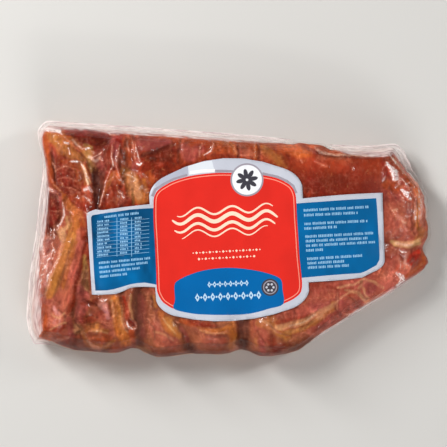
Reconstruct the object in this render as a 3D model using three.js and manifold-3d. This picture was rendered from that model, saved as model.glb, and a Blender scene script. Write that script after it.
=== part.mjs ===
// A vacuum-packed slab of smoked pancetta, lying flat with its labelled face up.
// Millimetres, +Z up. The origin is the middle of the box's underside.
//
// vacuum_pack  the slab with its shrunken bag: a domed top with the folds and creases of the
//              belly, steep sides with the seam that runs round them, and a flat underside
// label        the die-cut label: a tall middle panel with a wing at each side, which lies
//              over the folds

import * as THREE from 'three';
import * as BufferGeometryUtils from 'three/addons/utils/BufferGeometryUtils.js';
import Module from 'manifold-3d';

// ---- driving dimensions -------------------------------------------------------------------

const CROWN = 38;             // height of the top face at the middle of the pack
const THIN_END = 8;           // how much lower the right-hand end is
const THIN_FROM = 40;         // x where the pack starts to thin
const THIN_TO = 125;          // x where it ends
const SIDE_FALL = 2.5;        // how much lower the crown is at the long edges
const ROUND_REACH = 15;       // width of the rounded margin of the top face
const ROUND_DROP = 8.5;       // how far that margin falls
const SEAM_HEIGHT = 12;       // height of the bag's seam above the table
const SEAM_WAVE = 1.3;        // how far the seam wanders up and down
const SEAM_THICK = 1.2;
const SEAM_WIDTH = 2.2;       // how far the seam stands out at most
const SEAM_SHARE = 0.45;      // and as a share of the sloping strip, where that is narrow
const FOOT_INSET = 8;         // the underside is this much smaller all round
const HALF_LENGTH = 125;
const HALF_WIDTH = 71;
const RIPPLE_HEIGHT = 0.5;    // of the slow unevenness all over the top face

const LABEL_TURN = THREE.MathUtils.degToRad(3.8);
const LABEL_MIDDLE = [0.5, -1.2];
const LABEL_THICK = 0.5;
const LABEL_GAP = 0.3;
const WING_RELIEF = 0.6;      // share of the relief that shows through the label's wings
const PANEL_RELIEF = 0.25;    // and through its middle panel
const PANEL_HALF_WIDTH = 47.2;
const PANEL_CROWN = 50.8;     // top of the panel's arch
const PANEL_FOOT = 49.6;      // bottom of its lower arch

const COLUMNS = 60;           // quads along the top face
const ROWS = 34;              // quads across it

// ---- plan ---------------------------------------------------------------------------------

// The four sides as seen from above: x, y, and the width of the sloping strip of film between
// the widest line and the top face. Each side starts at its left or lower end.
const LEFT_SIDE = [
  [-120.4, -65.6, 8], [-124.7, -54, 10], [-123.8, -30, 9.5], [-119.2, 5, 8],
  [-116.4, 30, 5], [-115.1, 46, 3.5], [-117.4, 60, 4], [-117.8, 68, 5], [-112.6, 73.2, 5],
];
const RIGHT_SIDE = [
  [122.8, -15.5, 3.5], [121.8, -6.5, 3.5], [124.9, 2, 3.5], [123.2, 17, 3.5],
  [121.6, 29, 4], [113.3, 42.9, 5], [108.2, 52, 7], [103.6, 59, 8],
];
const BOTTOM_SIDE = [
  [-120.4, -65.6, 8], [-109.3, -66.4, 5], [-97, -69.4, 4], [-68, -70.9, 3], [-58.6, -67.9, 2.5],
  [-44, -73.3, 2.5], [-22.3, -71.3, 2.5], [-1, -71.6, 2.5], [8.1, -68.4, 2.5], [20, -73, 2.5],
  [40, -70.7, 3], [57, -60.3, 3.5], [88.8, -41, 4], [115.4, -24, 4], [122.8, -15.5, 3.5],
];
const TOP_SIDE = [
  [-112.6, 73.2, 5], [-64.7, 70, 5], [-17.4, 66.6, 5], [30.4, 62.6, 5],
  [57, 59.1, 5], [84.6, 57.6, 6], [103.6, 59, 8],
];

// ---- relief of the top face ---------------------------------------------------------------

// Each fold is a rounded ridge along a path, and each crease a furrow.
const FOLDS = [
  { path: [[-105, 55], [-96, 36], [-84, 18]], width: 10, height: 4.5 },
  { path: [[-91, 14], [-99, -7], [-112, -38]], width: 7, height: 3.5 },
  { path: [[-82, 8], [-89.5, -16], [-101, -44], [-110, -59]], width: 7.5, height: 4.5 },
  { path: [[-71, 56], [-71.5, 30], [-73, -1], [-76, -38], [-82, -62]], width: 10, height: 5 },
  { path: [[-52, 55], [-54, 24], [-62, -32], [-65, -63]], width: 9, height: 4 },
  { path: [[-41, -70], [-39, -46]], width: 11, height: 4 },
  { path: [[-14, -70], [-13, -48]], width: 12, height: 3.5 },
  { path: [[30, -70], [29, -48]], width: 15, height: 4 },
  { path: [[52, 57], [72, 50]], width: 8, height: 2.5 },
  { path: [[-20, 58], [30, 56]], width: 11, height: 2 },
  { path: [[104, 8], [114, 20], [112, 36]], width: 9, height: 3 },
];
const CREASES = [
  { path: [[-110, 60], [-108, 50], [-106, 30]], width: 3.2, depth: 3 },
  { path: [[-75, 65], [-80, 45], [-82, 16], [-83, 2]], width: 4.2, depth: 5.5 },
  { path: [[-83, 2], [-87, -19], [-93, -44], [-95, -66]], width: 4.2, depth: 4 },
  { path: [[-108, 22], [-107, 4]], width: 6, depth: 4.5 },
  { path: [[-61, 62], [-62, 44], [-63, 20], [-66, -32], [-72, -62]], width: 3.6, depth: 3 },
  { path: [[-54, -30], [-54, -68]], width: 4.5, depth: 5.5 },
  { path: [[-42, -41], [-30, -53], [-23, -71]], width: 3.6, depth: 3 },
  { path: [[9.5, -44], [9, -70]], width: 5, depth: 7.5 },
  { path: [[97, 52], [107, 35], [113, 21]], width: 4, depth: 2.5 },
  { path: [[100, -1], [110, -6], [118, -15]], width: 4.5, depth: 4.5 },
];

const rise = (from, to, x) => THREE.MathUtils.smoothstep(x, from, to);
const fade = (from, to, x) => 1 - rise(from, to, x);

function distanceToPath(x, y, path) {
  let nearest = Infinity;
  for (let i = 0; i + 1 < path.length; i++) {
    const [ax, ay] = path[i];
    const [bx, by] = path[i + 1];
    const along = ((x - ax) * (bx - ax) + (y - ay) * (by - ay)) / ((bx - ax) ** 2 + (by - ay) ** 2);
    const t = THREE.MathUtils.clamp(along, 0, 1);
    nearest = Math.min(nearest, Math.hypot(x - ax - t * (bx - ax), y - ay - t * (by - ay)));
  }
  return nearest;
}

const bell = (distance, width) => Math.exp(-((distance / width) ** 2));

// The share of the relief that shows at a place: less where the label bridges the furrows.
function reliefShare(x, y) {
  const flat = new THREE.Vector2(x - LABEL_MIDDLE[0], y - LABEL_MIDDLE[1]);
  flat.rotateAround(new THREE.Vector2(), -LABEL_TURN);
  const wings = fade(84, 95, Math.abs(flat.x - 5)) * fade(20, 31, Math.abs(flat.y + 2));
  const panel = fade(42, 54, Math.abs(flat.x)) * fade(42, 54, Math.abs(flat.y));
  return THREE.MathUtils.lerp(1, WING_RELIEF, wings) * THREE.MathUtils.lerp(1, PANEL_RELIEF, panel);
}

function relief(x, y) {
  let z = 0;
  for (const fold of FOLDS) z += fold.height * bell(distanceToPath(x, y, fold.path), fold.width);
  for (const crease of CREASES) z -= crease.depth * bell(distanceToPath(x, y, crease.path), crease.width);
  z += RIPPLE_HEIGHT * Math.sin(x / 9 + y / 14) * Math.sin(y / 11 - x / 23);
  return z * reliefShare(x, y);
}

// ---- body of the pack ---------------------------------------------------------------------

const sideCurve = (points) => new THREE.CatmullRomCurve3(
  points.map(([x, y, strip]) => new THREE.Vector3(x, y, strip)), false, 'centripetal');

// Unit vector from a place on the outline towards the inside, turning smoothly at the corners.
function inwards(x, y) {
  const squareness = 5;
  const dx = -Math.sign(x) * Math.abs(x / HALF_LENGTH) ** squareness / HALF_LENGTH;
  const dy = -Math.sign(y) * Math.abs(y / HALF_WIDTH) ** squareness / HALF_WIDTH;
  return new THREE.Vector2(dx, dy).normalize();
}

function inset(place, amount) {
  const inward = inwards(place.x, place.y);
  return new THREE.Vector3(place.x + inward.x * amount, place.y + inward.y * amount, place.z);
}

const sides = {
  left: sideCurve(LEFT_SIDE).getSpacedPoints(ROWS),
  right: sideCurve(RIGHT_SIDE).getSpacedPoints(ROWS),
  bottom: sideCurve(BOTTOM_SIDE).getSpacedPoints(COLUMNS),
  top: sideCurve(TOP_SIDE).getSpacedPoints(COLUMNS),
};
const rim = Object.fromEntries(
  Object.entries(sides).map(([name, points]) => [name, points.map((place) => inset(place, place.z))]));

// Where the top face's grid point (column, row) lies in plan, between the four rim curves.
function gridPlace(column, row) {
  const u = column / COLUMNS;
  const v = row / ROWS;
  const mix = (key) => {
    const acrossX = THREE.MathUtils.lerp(rim.left[row][key], rim.right[row][key], u);
    const acrossY = THREE.MathUtils.lerp(rim.bottom[column][key], rim.top[column][key], v);
    const below = THREE.MathUtils.lerp(rim.bottom[0][key], rim.bottom[COLUMNS][key], u);
    const above = THREE.MathUtils.lerp(rim.top[0][key], rim.top[COLUMNS][key], u);
    return acrossX + acrossY - THREE.MathUtils.lerp(below, above, v);
  };
  return [mix('x'), mix('y')];
}

// The rim once round, counter-clockwise from its lower left corner, as [column, row].
const lap = [];
for (let c = 0; c < COLUMNS; c++) lap.push([c, 0]);
for (let r = 0; r < ROWS; r++) lap.push([COLUMNS, r]);
for (let c = COLUMNS; c > 0; c--) lap.push([c, ROWS]);
for (let r = ROWS; r > 0; r--) lap.push([0, r]);

function outlinePlace([column, row]) {
  if (row === 0) return sides.bottom[column];
  if (row === ROWS) return sides.top[column];
  return column === 0 ? sides.left[row] : sides.right[row];
}

const rimPlaces = lap.map(([column, row]) => gridPlace(column, row));
const rimPath = [...rimPlaces, rimPlaces[0]];

function topHeight(x, y) {
  const crown = CROWN - THIN_END * rise(THIN_FROM, THIN_TO, x) - SIDE_FALL * (y / HALF_WIDTH) ** 2;
  const margin = THREE.MathUtils.clamp(1 - distanceToPath(x, y, rimPath) / ROUND_REACH, 0, 1);
  const rounding = ROUND_DROP * (1 - Math.sqrt(1 - 0.98 * margin * margin));
  return crown - rounding + relief(x, y);
}

// The grid of the top face as heights, worked out once and used by the pack and the label.
const topGrid = [];
for (let r = 0; r <= ROWS; r++) {
  for (let c = 0; c <= COLUMNS; c++) {
    const [x, y] = gridPlace(c, r);
    topGrid.push([x, y, topHeight(x, y)]);
  }
}
const gridIndex = ([column, row]) => row * (COLUMNS + 1) + column;

function pushGridFaces(faces, offset, facingUp) {
  for (let r = 0; r < ROWS; r++) {
    for (let c = 0; c < COLUMNS; c++) {
      const a = offset + gridIndex([c, r]);
      const b = a + 1;
      const d = offset + gridIndex([c, r + 1]);
      const e = d + 1;
      if (facingUp) faces.push(a, b, e, a, e, d);
      else faces.push(a, e, b, a, d, e);
    }
  }
}

// Joins two laps of equal length by a band of triangles that faces out; the first is the upper.
function pushBand(faces, upper, lower) {
  for (let i = 0; i < upper.length; i++) {
    const j = (i + 1) % upper.length;
    faces.push(upper[i], lower[i], lower[j], upper[i], lower[j], upper[j]);
  }
}

function geometryOf(vertices, faces) {
  const geometry = new THREE.BufferGeometry();
  geometry.setAttribute('position', new THREE.Float32BufferAttribute(vertices.flat(), 3));
  geometry.setIndex(faces);
  geometry.computeVertexNormals();
  return geometry;
}

// The side of the pack at one point of the outline, from below the rim down to the underside,
// as [distance in from the widest line, height]. strip is the width of the sloping film there.
function sideProfile(strip, rimHeight, angle) {
  const seam = SEAM_HEIGHT + SEAM_WAVE * Math.sin(3 * angle) * Math.cos(5 * angle + 1);
  const lip = Math.min(SEAM_WIDTH, SEAM_SHARE * strip);
  const fall = rimHeight - seam;
  return [
    [lip + 0.55 * (strip - lip), seam + 0.72 * fall],
    [lip + 0.18 * (strip - lip), seam + 0.4 * fall],
    [lip, seam + SEAM_THICK],
    [0, seam + SEAM_THICK / 2],
    [0, seam - SEAM_THICK / 2],
    [lip, seam - SEAM_THICK],
    [lip + 0.8, 0.45 * seam],
    [lip + 2.6, 0.12 * seam],
    [FOOT_INSET, 0],
  ];
}

function packGeometry() {
  const vertices = topGrid.map((place) => [...place]);
  const faces = [];
  pushGridFaces(faces, 0, true);
  const profiles = lap.map((step) => {
    const place = outlinePlace(step);
    return sideProfile(place.z, topGrid[gridIndex(step)][2], Math.atan2(place.y, place.x));
  });
  let upper = lap.map(gridIndex);
  for (let level = 0; level < profiles[0].length; level++) {
    const lower = lap.map((step, i) => {
      const [distance, height] = profiles[i][level];
      const place = inset(outlinePlace(step), distance);
      return vertices.push([place.x, place.y, height]) - 1;
    });
    pushBand(faces, upper, lower);
    upper = lower;
  }
  const foot = upper.map((index) => new THREE.Vector2(vertices[index][0], vertices[index][1]));
  for (const [a, b, c] of THREE.ShapeUtils.triangulateShape(foot, [])) {
    faces.push(upper[a], upper[c], upper[b]);
  }
  return geometryOf(vertices, faces);
}

// ---- label --------------------------------------------------------------------------------

// The label's outline, lying flat, about its own middle.
function labelShape() {
  const side = PANEL_HALF_WIDTH;
  const shape = new THREE.Shape();
  shape.moveTo(-side, 25.6);
  shape.lineTo(-side, 31);
  shape.quadraticCurveTo(-45.5, 38.5, -36, 42.4);
  shape.quadraticCurveTo(0, 2 * PANEL_CROWN - 42.4, 36, 42.4);
  shape.quadraticCurveTo(45.5, 38.5, side, 31);
  shape.lineTo(side, 22.9);
  shape.splineThru([[70.2, 23.5], [92, 23.3]].map(([x, y]) => new THREE.Vector2(x, y)));
  shape.quadraticCurveTo(96.3, 23.2, 96.2, 19);
  shape.lineTo(95.1, -18);
  shape.quadraticCurveTo(95, -23, 87, -25.4);
  shape.lineTo(80.5, -28.2);
  shape.splineThru([[66.7, -28.9], [side, -28.9]].map(([x, y]) => new THREE.Vector2(x, y)));
  shape.lineTo(side, -34);
  shape.quadraticCurveTo(45.5, -40.5, 37, -44);
  shape.quadraticCurveTo(0, -2 * PANEL_FOOT + 44, -37, -44);
  shape.quadraticCurveTo(-45.5, -40.5, -side, -34);
  shape.lineTo(-side, -25.8);
  shape.splineThru(
    [[-54, -25], [-61.8, -25], [-67, -26.8], [-72, -28.2]].map(([x, y]) => new THREE.Vector2(x, y)));
  shape.lineTo(-83, -28);
  shape.quadraticCurveTo(-86.4, -28, -86.4, -24);
  shape.lineTo(-86.3, 19);
  shape.quadraticCurveTo(-86.3, 23.6, -80.5, 24.6);
  shape.splineThru([[-76, 23.9], [-62.8, 24.9], [-side, 25.6]].map(([x, y]) => new THREE.Vector2(x, y)));
  return shape;
}

const wasm = await Module();
wasm.setup();

function solidOf(geometry) {
  const bare = geometry.clone();
  bare.deleteAttribute('normal');
  bare.deleteAttribute('uv');
  const merged = BufferGeometryUtils.mergeVertices(bare, 1e-4);
  return new wasm.Manifold(new wasm.Mesh({
    numProp: 3,
    vertProperties: Float32Array.from(merged.attributes.position.array),
    triVerts: Uint32Array.from(merged.index.array),
  }));
}

function geometryOfSolid(solid) {
  const mesh = solid.getMesh();
  const geometry = new THREE.BufferGeometry();
  geometry.setAttribute('position', new THREE.BufferAttribute(mesh.vertProperties, 3));
  geometry.setIndex(new THREE.BufferAttribute(mesh.triVerts, 1));
  geometry.computeVertexNormals();
  return geometry;
}

// A sheet of the label's thickness that follows the whole top face, a gap above it.
function coveringSheet() {
  const lift = (amount) => topGrid.map(([x, y, z]) => [x, y, z + amount]);
  const vertices = [...lift(LABEL_GAP + LABEL_THICK), ...lift(LABEL_GAP)];
  const faces = [];
  pushGridFaces(faces, 0, true);
  pushGridFaces(faces, topGrid.length, false);
  const upper = lap.map(gridIndex);
  pushBand(faces, upper, upper.map((index) => index + topGrid.length));
  return geometryOf(vertices, faces);
}

function labelGeometry() {
  const upright = { depth: 2 * CROWN, bevelEnabled: false, curveSegments: 6 };
  const cutter = new THREE.ExtrudeGeometry(labelShape(), upright);
  cutter.rotateZ(LABEL_TURN);
  cutter.translate(LABEL_MIDDLE[0], LABEL_MIDDLE[1], 0);
  return geometryOfSolid(solidOf(coveringSheet()).intersect(solidOf(cutter)));
}

// ---- the object ---------------------------------------------------------------------------

function piece(name, geometry, look) {
  const mesh = new THREE.Mesh(geometry, new THREE.MeshStandardMaterial(look));
  mesh.name = name;
  return mesh;
}

const object = new THREE.Group();
object.add(
  piece('vacuum_pack', packGeometry(), { color: 0x9c4a33, roughness: 0.25, metalness: 0 }),
  piece('label', labelGeometry(), { color: 0xe0362b, roughness: 0.45, metalness: 0 }),
);

export default object;
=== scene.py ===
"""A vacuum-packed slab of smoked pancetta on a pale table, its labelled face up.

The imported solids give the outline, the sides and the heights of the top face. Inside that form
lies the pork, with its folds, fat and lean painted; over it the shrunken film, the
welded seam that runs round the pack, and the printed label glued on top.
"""

import logging
import math
from dataclasses import dataclass
from enum import Enum

import bpy
import numpy as np
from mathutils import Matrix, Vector
from mathutils.bvhtree import BVHTree
from mathutils.geometry import delaunay_2d_cdt
from mathutils.kdtree import KDTree


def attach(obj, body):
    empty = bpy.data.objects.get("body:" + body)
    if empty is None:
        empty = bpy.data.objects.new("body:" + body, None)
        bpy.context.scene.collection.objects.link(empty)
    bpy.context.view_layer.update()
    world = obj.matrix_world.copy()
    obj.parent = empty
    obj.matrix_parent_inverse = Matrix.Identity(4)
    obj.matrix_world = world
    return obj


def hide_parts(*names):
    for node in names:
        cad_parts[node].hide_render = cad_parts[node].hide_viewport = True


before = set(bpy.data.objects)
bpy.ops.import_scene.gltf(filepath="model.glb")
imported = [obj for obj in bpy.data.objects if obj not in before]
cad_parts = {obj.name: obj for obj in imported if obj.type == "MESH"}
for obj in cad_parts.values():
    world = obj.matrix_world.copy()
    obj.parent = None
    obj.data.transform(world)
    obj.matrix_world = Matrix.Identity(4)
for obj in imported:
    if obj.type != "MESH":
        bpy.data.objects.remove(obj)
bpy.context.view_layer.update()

log = logging.getLogger("pancetta_pack")

Array = np.ndarray
Material = bpy.types.Material
Piece = bpy.types.Object
Pair = tuple[float, float]
Triple = tuple[float, float, float]
Route = tuple[Triple, ...]  # x, y and half-width along a stroke

MM = 0.001  # charts, outlines and routes are in millimetres, meshes in metres
CHART_STEP = 0.5  # between the values of a chart
CHART_REACH = np.array((129.0, 77.5))  # from the middle to the charts' edges
HILLS_ACROSS = 128  # random hills before their pattern repeats
HILLS_SHIFT = (37.3, 51.7)  # where in the pattern the pack's middle lies


# ---- numbers ----

def linear(*colour: float) -> Triple:
    """Turns a screen colour of 0 to 255 into the linear light that Blender works in."""
    shares = (value / 255 for value in colour)
    return tuple(s / 12.92 if s <= 0.04045 else ((s + 0.055) / 1.055) ** 2.4 for s in shares)


def ramp(low: float, high: float, value: Array) -> Array:
    """A smooth rise from 0 at low to 1 at high."""
    t = np.clip((value - low) / (high - low), 0, 1)
    return t * t * (3 - 2 * t)


def hills(x: Array, y: Array, size: float, seed: int) -> Array:
    """Smooth random hills and hollows.

    Args:
        x: places along, in millimetres.
        y: places across.
        size: distance between neighbouring hills and hollows.
        seed: which pattern.

    Returns:
        Values from -1 to 1, one for each place.
    """
    lattice = np.random.default_rng(seed).uniform(-1, 1, (HILLS_ACROSS, HILLS_ACROSS))
    gx, gy = np.asarray(x) / size + HILLS_SHIFT[0], np.asarray(y) / size + HILLS_SHIFT[1]
    ix, iy = np.floor(gx).astype(int), np.floor(gy).astype(int)
    fx, fy = ramp(0, 1, gx - ix), ramp(0, 1, gy - iy)

    def corner(right: int, up: int) -> Array:
        """The lattice's values at one corner of each place's cell."""
        return lattice[(iy + up) % HILLS_ACROSS, (ix + right) % HILLS_ACROSS]

    lower = corner(0, 0) * (1 - fx) + corner(1, 0) * fx
    return lower * (1 - fy) + (corner(0, 1) * (1 - fx) + corner(1, 1) * fx) * fy


def folded(x: Array, y: Array, sharp: float) -> Array:
    """Fine folds that cross each other, from 0 beside them to 1 on them.

    Args:
        x: places along.
        y: places across.
        sharp: how narrow they are.

    Returns:
        A value for each place.
    """
    x, y = x + 0.8 * hills(x, y, 4.0, 58), y + 0.8 * hills(x, y, 4.0, 59)
    broad, narrow = (1 - np.abs(hills(x, y, size, seed)) for size, seed in ((3.0, 56), (1.7, 57)))
    return np.maximum(broad ** (2 * sharp), 0.7 * narrow ** (2 * sharp))


def bell(spread: float) -> Array:
    """Works out the weights of a smoothing.

    Args:
        spread: its width, in points.

    Returns:
        Weights out to three times the spread on either side.
    """
    reach = math.ceil(3 * spread)
    weights = np.exp(-0.5 * (np.arange(-reach, reach + 1) / spread) ** 2)
    return weights / weights.sum()


def blur_round(values: Array, spread: float) -> Array:
    """Smooths values that run once round a closed loop.

    Args:
        values: one row for each point of the loop.
        spread: width of the smoothing, in points.

    Returns:
        The smoothed values.
    """
    weights = bell(spread)
    return sum(w * np.roll(values, k - len(weights) // 2, axis=0) for k, w in enumerate(weights))


def grid(low: Pair, high: Pair, steps: Pair) -> list[Array]:
    """The x and y of every point of a grid, the highest left out."""
    return np.meshgrid(*(np.arange(*limits) for limits in zip(low, high, steps)))


def points_of(text: str) -> list[tuple[float, ...]]:
    """Reads points: spaces part them, and commas part their numbers."""
    return [tuple(float(number) for number in word.split(",")) for word in text.split()]


@dataclass
class Chart:
    """Values over the plan of the pack, on a regular grid."""

    values: Array

    @staticmethod
    def places() -> list[Array]:
        """The x and y of every grid point."""
        return grid(-CHART_REACH, CHART_REACH + CHART_STEP / 2, (CHART_STEP, CHART_STEP))

    def at(self, x: Array, y: Array) -> Array:
        """Reads the chart between its points.

        Args:
            x: places along.
            y: places across.

        Returns:
            A value for each place.
        """
        rows, columns = self.values.shape[:2]
        gx = np.clip((np.asarray(x) + CHART_REACH[0]) / CHART_STEP, 0, columns - 1.001)
        gy = np.clip((np.asarray(y) + CHART_REACH[1]) / CHART_STEP, 0, rows - 1.001)
        ix, iy = gx.astype(int), gy.astype(int)
        fx, fy = gx - ix, gy - iy
        if self.values.ndim == 3:
            fx, fy = fx[:, None], fy[:, None]
        lower = self.values[iy, ix] * (1 - fx) + self.values[iy, ix + 1] * fx
        upper = self.values[iy + 1, ix] * (1 - fx) + self.values[iy + 1, ix + 1] * fx
        return lower * (1 - fy) + upper * fy

    def blurred(self, spread: float) -> "Chart":
        """The chart smoothed over a spread in millimetres.

        Args:
            spread: width of the smoothing.

        Returns:
            The smoothed chart.
        """
        weights = bell(spread / CHART_STEP)
        reach = len(weights) // 2
        values = self.values
        for axis, length in enumerate(values.shape):
            padded = np.pad(values, [(reach, reach) if a == axis else (0, 0) for a in (0, 1)], "edge")
            values = sum(w * np.take(padded, range(k, k + length), axis) for k, w in enumerate(weights))
        return Chart(values)

    def closed(self, radius: float) -> "Chart":
        """Bridges furrows, as a taut skin does.

        Args:
            radius: of the disc that bridges them.

        Returns:
            The bridged chart.
        """
        cells = int(round(radius / CHART_STEP))
        steps = range(-cells, cells + 1)
        disc = [(dy, dx) for dy in steps for dx in steps if dx * dx + dy * dy <= cells * cells]

        def spread(values: Array) -> Array:
            """Finds the highest value within the disc round each point.

            Args:
                values: a chart's.

            Returns:
                The highest values.
            """
            rows, columns = values.shape
            padded = np.pad(values, cells, "edge")
            result = values
            for dy, dx in disc:
                top, left = cells + dy, cells + dx
                result = np.maximum(result, padded[top:top + rows, left:left + columns])
            return result

        return Chart(-spread(-spread(self.values)))


def cover(route: Route, x: Array, y: Array, soft: float) -> Array:
    """How far a brush stroke covers each place.

    Args:
        route: the stroke's points, each with the half-width there.
        x: places along.
        y: places across.
        soft: share of the half-width over which the edge fades.

    Returns:
        1 inside the stroke, 0 outside it.
    """
    points = route if len(route) > 1 else route + route
    best = np.full(np.shape(x), np.inf)
    for (ax, ay, aw), (bx, by, bw) in zip(points, points[1:]):
        dx, dy = bx - ax, by - ay
        t = np.clip(((x - ax) * dx + (y - ay) * dy) / max(dx * dx + dy * dy, 1e-9), 0, 1)
        distance = np.hypot(x - ax - t * dx, y - ay - t * dy)
        best = np.minimum(best, distance / (aw + t * (bw - aw)))
    return 1 - ramp(1 - soft, 1 + soft, best)


@dataclass(frozen=True)
class Stroke:
    """A brush stroke: its strength, its route and, if it is paint, the tissue."""

    strength: float
    route: Route
    tissue: str = ""

    @staticmethod
    def table(text: str) -> "tuple[Stroke, ...]":
        """Reads strokes.

        Args:
            text: a stroke a line: its tissue if it is paint, its strength, then x,y,half-width of
                its points. A half-width like the last point's is left out.

        Returns:
            The strokes.
        """
        result = []
        for line in text.strip().splitlines():
            if not line.startswith("#"):
                words = line.split()
                head = [word for word in words if "," not in word]
                route = points_of(" ".join(words[len(head):]))
                for number, point in enumerate(route):
                    if len(point) == 2:
                        route[number] = (*point, route[number - 1][2])
                result.append(Stroke(float(head[-1]), tuple(route), head[0] if len(head) > 1 else ""))
        return tuple(result)

    def scaled(self, strength: float, width: float, least: float = 0.0) -> "Stroke":
        """The stroke with its strength and half-widths multiplied, those first raised to a least one."""
        route = tuple((x, y, max(half, least) * width) for x, y, half in self.route)
        return Stroke(strength * self.strength, route, self.tissue)


class StrokeBoard:
    """A chart that strokes are laid on, with slightly wandering edges."""

    WAVES = ((7.0, 1.0, 11), (2.6, 0.55, 13))  # of the edges: size, share and seed

    def __init__(self, wander: float, ground: Array | None = None) -> None:
        """Args: wander is how far edges stray, in mm, and ground the first state, if it isn't 0."""
        self.x, self.y = Chart.places()
        self.values = np.zeros_like(self.x) if ground is None else ground.copy()
        self.wx, self.wy = self.x.copy(), self.y.copy()
        for size, share, seed in self.WAVES:
            self.wx += wander * share * hills(self.x, self.y, size, seed)
            self.wy += wander * share * hills(self.x, self.y, size, seed + 100)

    def lay(self, route: Route, value: float | Triple, strength: float, soft: float,
            adds: bool = False) -> None:
        """Lays one stroke.

        Args:
            route: where it runs.
            value: what it lays down, a number or a colour.
            strength: how much of what lies below it hides, from 0 to 1.
            soft: how soft its edge is.
            adds: whether it is added to the chart instead of painted over it.
        """
        widest = max(point[2] for point in route) * 2.2 + 3
        spans = []
        for axis in (1, 0):
            places = [point[axis] + CHART_REACH[axis] for point in route]
            first = max(int((min(places) - widest) / CHART_STEP), 0)
            spans.append(slice(first, int((max(places) + widest) / CHART_STEP) + 1))
        part = tuple(spans)
        share = cover(route, self.wx[part], self.wy[part], soft) * strength
        if self.values.ndim == 3:
            share = share[..., None]
        self.values[part] += share * (value if adds else np.asarray(value) - self.values[part])

    def heap(self, strokes: "tuple[Stroke, ...]", soft: float, gain: float = 1.0,
             adds: bool = True) -> "StrokeBoard":
        """Lays numbers.

        Args:
            strokes: each brings its strength.
            soft: how soft their edges are.
            gain: what their strengths are multiplied by.
            adds: whether they are added to the chart instead of painted over it.

        Returns:
            The board.
        """
        for stroke in strokes:
            self.lay(stroke.route, gain * stroke.strength, 1.0, soft, adds)
        return self

    def paint(self, strokes: "tuple[Stroke, ...]", soft: float) -> "StrokeBoard":
        """Lays colours.

        Args:
            strokes: each brings its tissue's colour, as strongly as it says.
            soft: how soft their edges are.

        Returns:
            The board.
        """
        for stroke in strokes:
            self.lay(stroke.route, Tissue[stroke.tissue].light, stroke.strength, soft)
        return self


# How wide the whitish strip is along the pack's edge: x and y near the edge, and the width.
STRIP = points_of("""
-113,73,4.5 -100,73,4.5 -60,70,4.6 -20,67.5,4.4 17,64.5,4 34,61.5,2.4 44,60.5,.8 54,59,.3 61,58.5,1
69,58,3.8 82,58,6 97,60,7 103,58,6 108,50,4 112,43,1.8 117,37,1.4 120,31,1.5 123,25,1.4 125,8,1.4
122,-5,1.4 123,-17,1 115,-25,1.3 90,-40,1.3 60,-60,1 40,-70,.5 -100,-72,.5 -112,-72,1.5 -118,-71,5
-124.5,-60,8.2 -124.5,-50,9 -123,-38,8.4 -121,-23,5.4 -119,-8,4 -117,8,5.4 -115.5,23,5 -114,31,5
-113,38.6,2.8 -112.5,46,1.6 -114,62,2 -117,68,4
""")
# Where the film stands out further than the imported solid: x and y at the edge, and how far.
NUDGE = points_of("""
108,53,2 110,46,1.6 114,40,1.1 118,34,1.2 121.5,27,1.4 123,18,1.4 124,8,1 125,2,.8 123,-13,1.6
120,-19,1.4
""")
ROUNDED = points_of("102.5,59,7 107,52,6")  # where its corners are rounder: x, y, reach


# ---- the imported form, as the frame has it ----

def triangles_of(node: Piece) -> tuple[Array, Array]:
    """A node's mesh with its coincident corners joined.

    Args:
        node: a CAD node of the frame.

    Returns:
        Its corners in millimetres, and its triangles as indices of them.
    """
    mesh = node.data
    corners = np.empty(len(mesh.vertices) * 3)
    mesh.vertices.foreach_get("co", corners)
    corners = corners.reshape(-1, 3) / MM
    _, first, same = np.unique(np.round(corners, 3), axis=0, return_index=True, return_inverse=True)
    mesh.calc_loop_triangles()
    indices = np.empty(len(mesh.loop_triangles) * 3, int)
    mesh.loop_triangles.foreach_get("vertices", indices)
    return corners[first], same.ravel()[indices].reshape(-1, 3)


def outline_of(node: Piece) -> Array:
    """The plan outline of what faces up on a node.

    Args:
        node: a CAD node of the frame.

    Returns:
        The outline's points in millimetres, counter-clockwise.
    """
    corners, triangles = triangles_of(node)
    a, b, c = (corners[triangles[:, k]] for k in range(3))
    upward = triangles[np.cross(b - a, c - a)[:, 2] > 1e-6]
    follows: dict[int, int] = {}
    edges = {(int(t[k]), int(t[(k + 1) % 3])) for t in upward for k in range(3)}
    for start, end in edges:
        if (end, start) not in edges:
            follows[start] = end
    longest: list[int] = []
    while follows:
        first = next(iter(follows))
        lap, place = [], first
        while place in follows:
            lap.append(place)
            place = follows.pop(place)
        longest = max(longest, lap, key=len)
    return corners[longest][:, :2]


def evenly(loop: Array, count: int) -> Array:
    """Points spaced evenly along a closed loop.

    Args:
        loop: its points.
        count: how many are wanted.

    Returns:
        The wanted points.
    """
    closed = np.vstack([loop, loop[:1]])
    along = np.concatenate([[0], np.cumsum(np.hypot(*np.diff(closed, axis=0).T))])
    wanted = np.arange(count) * along[-1] / count
    return np.stack([np.interp(wanted, along, closed[:, k]) for k in (0, 1)], axis=1)


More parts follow.
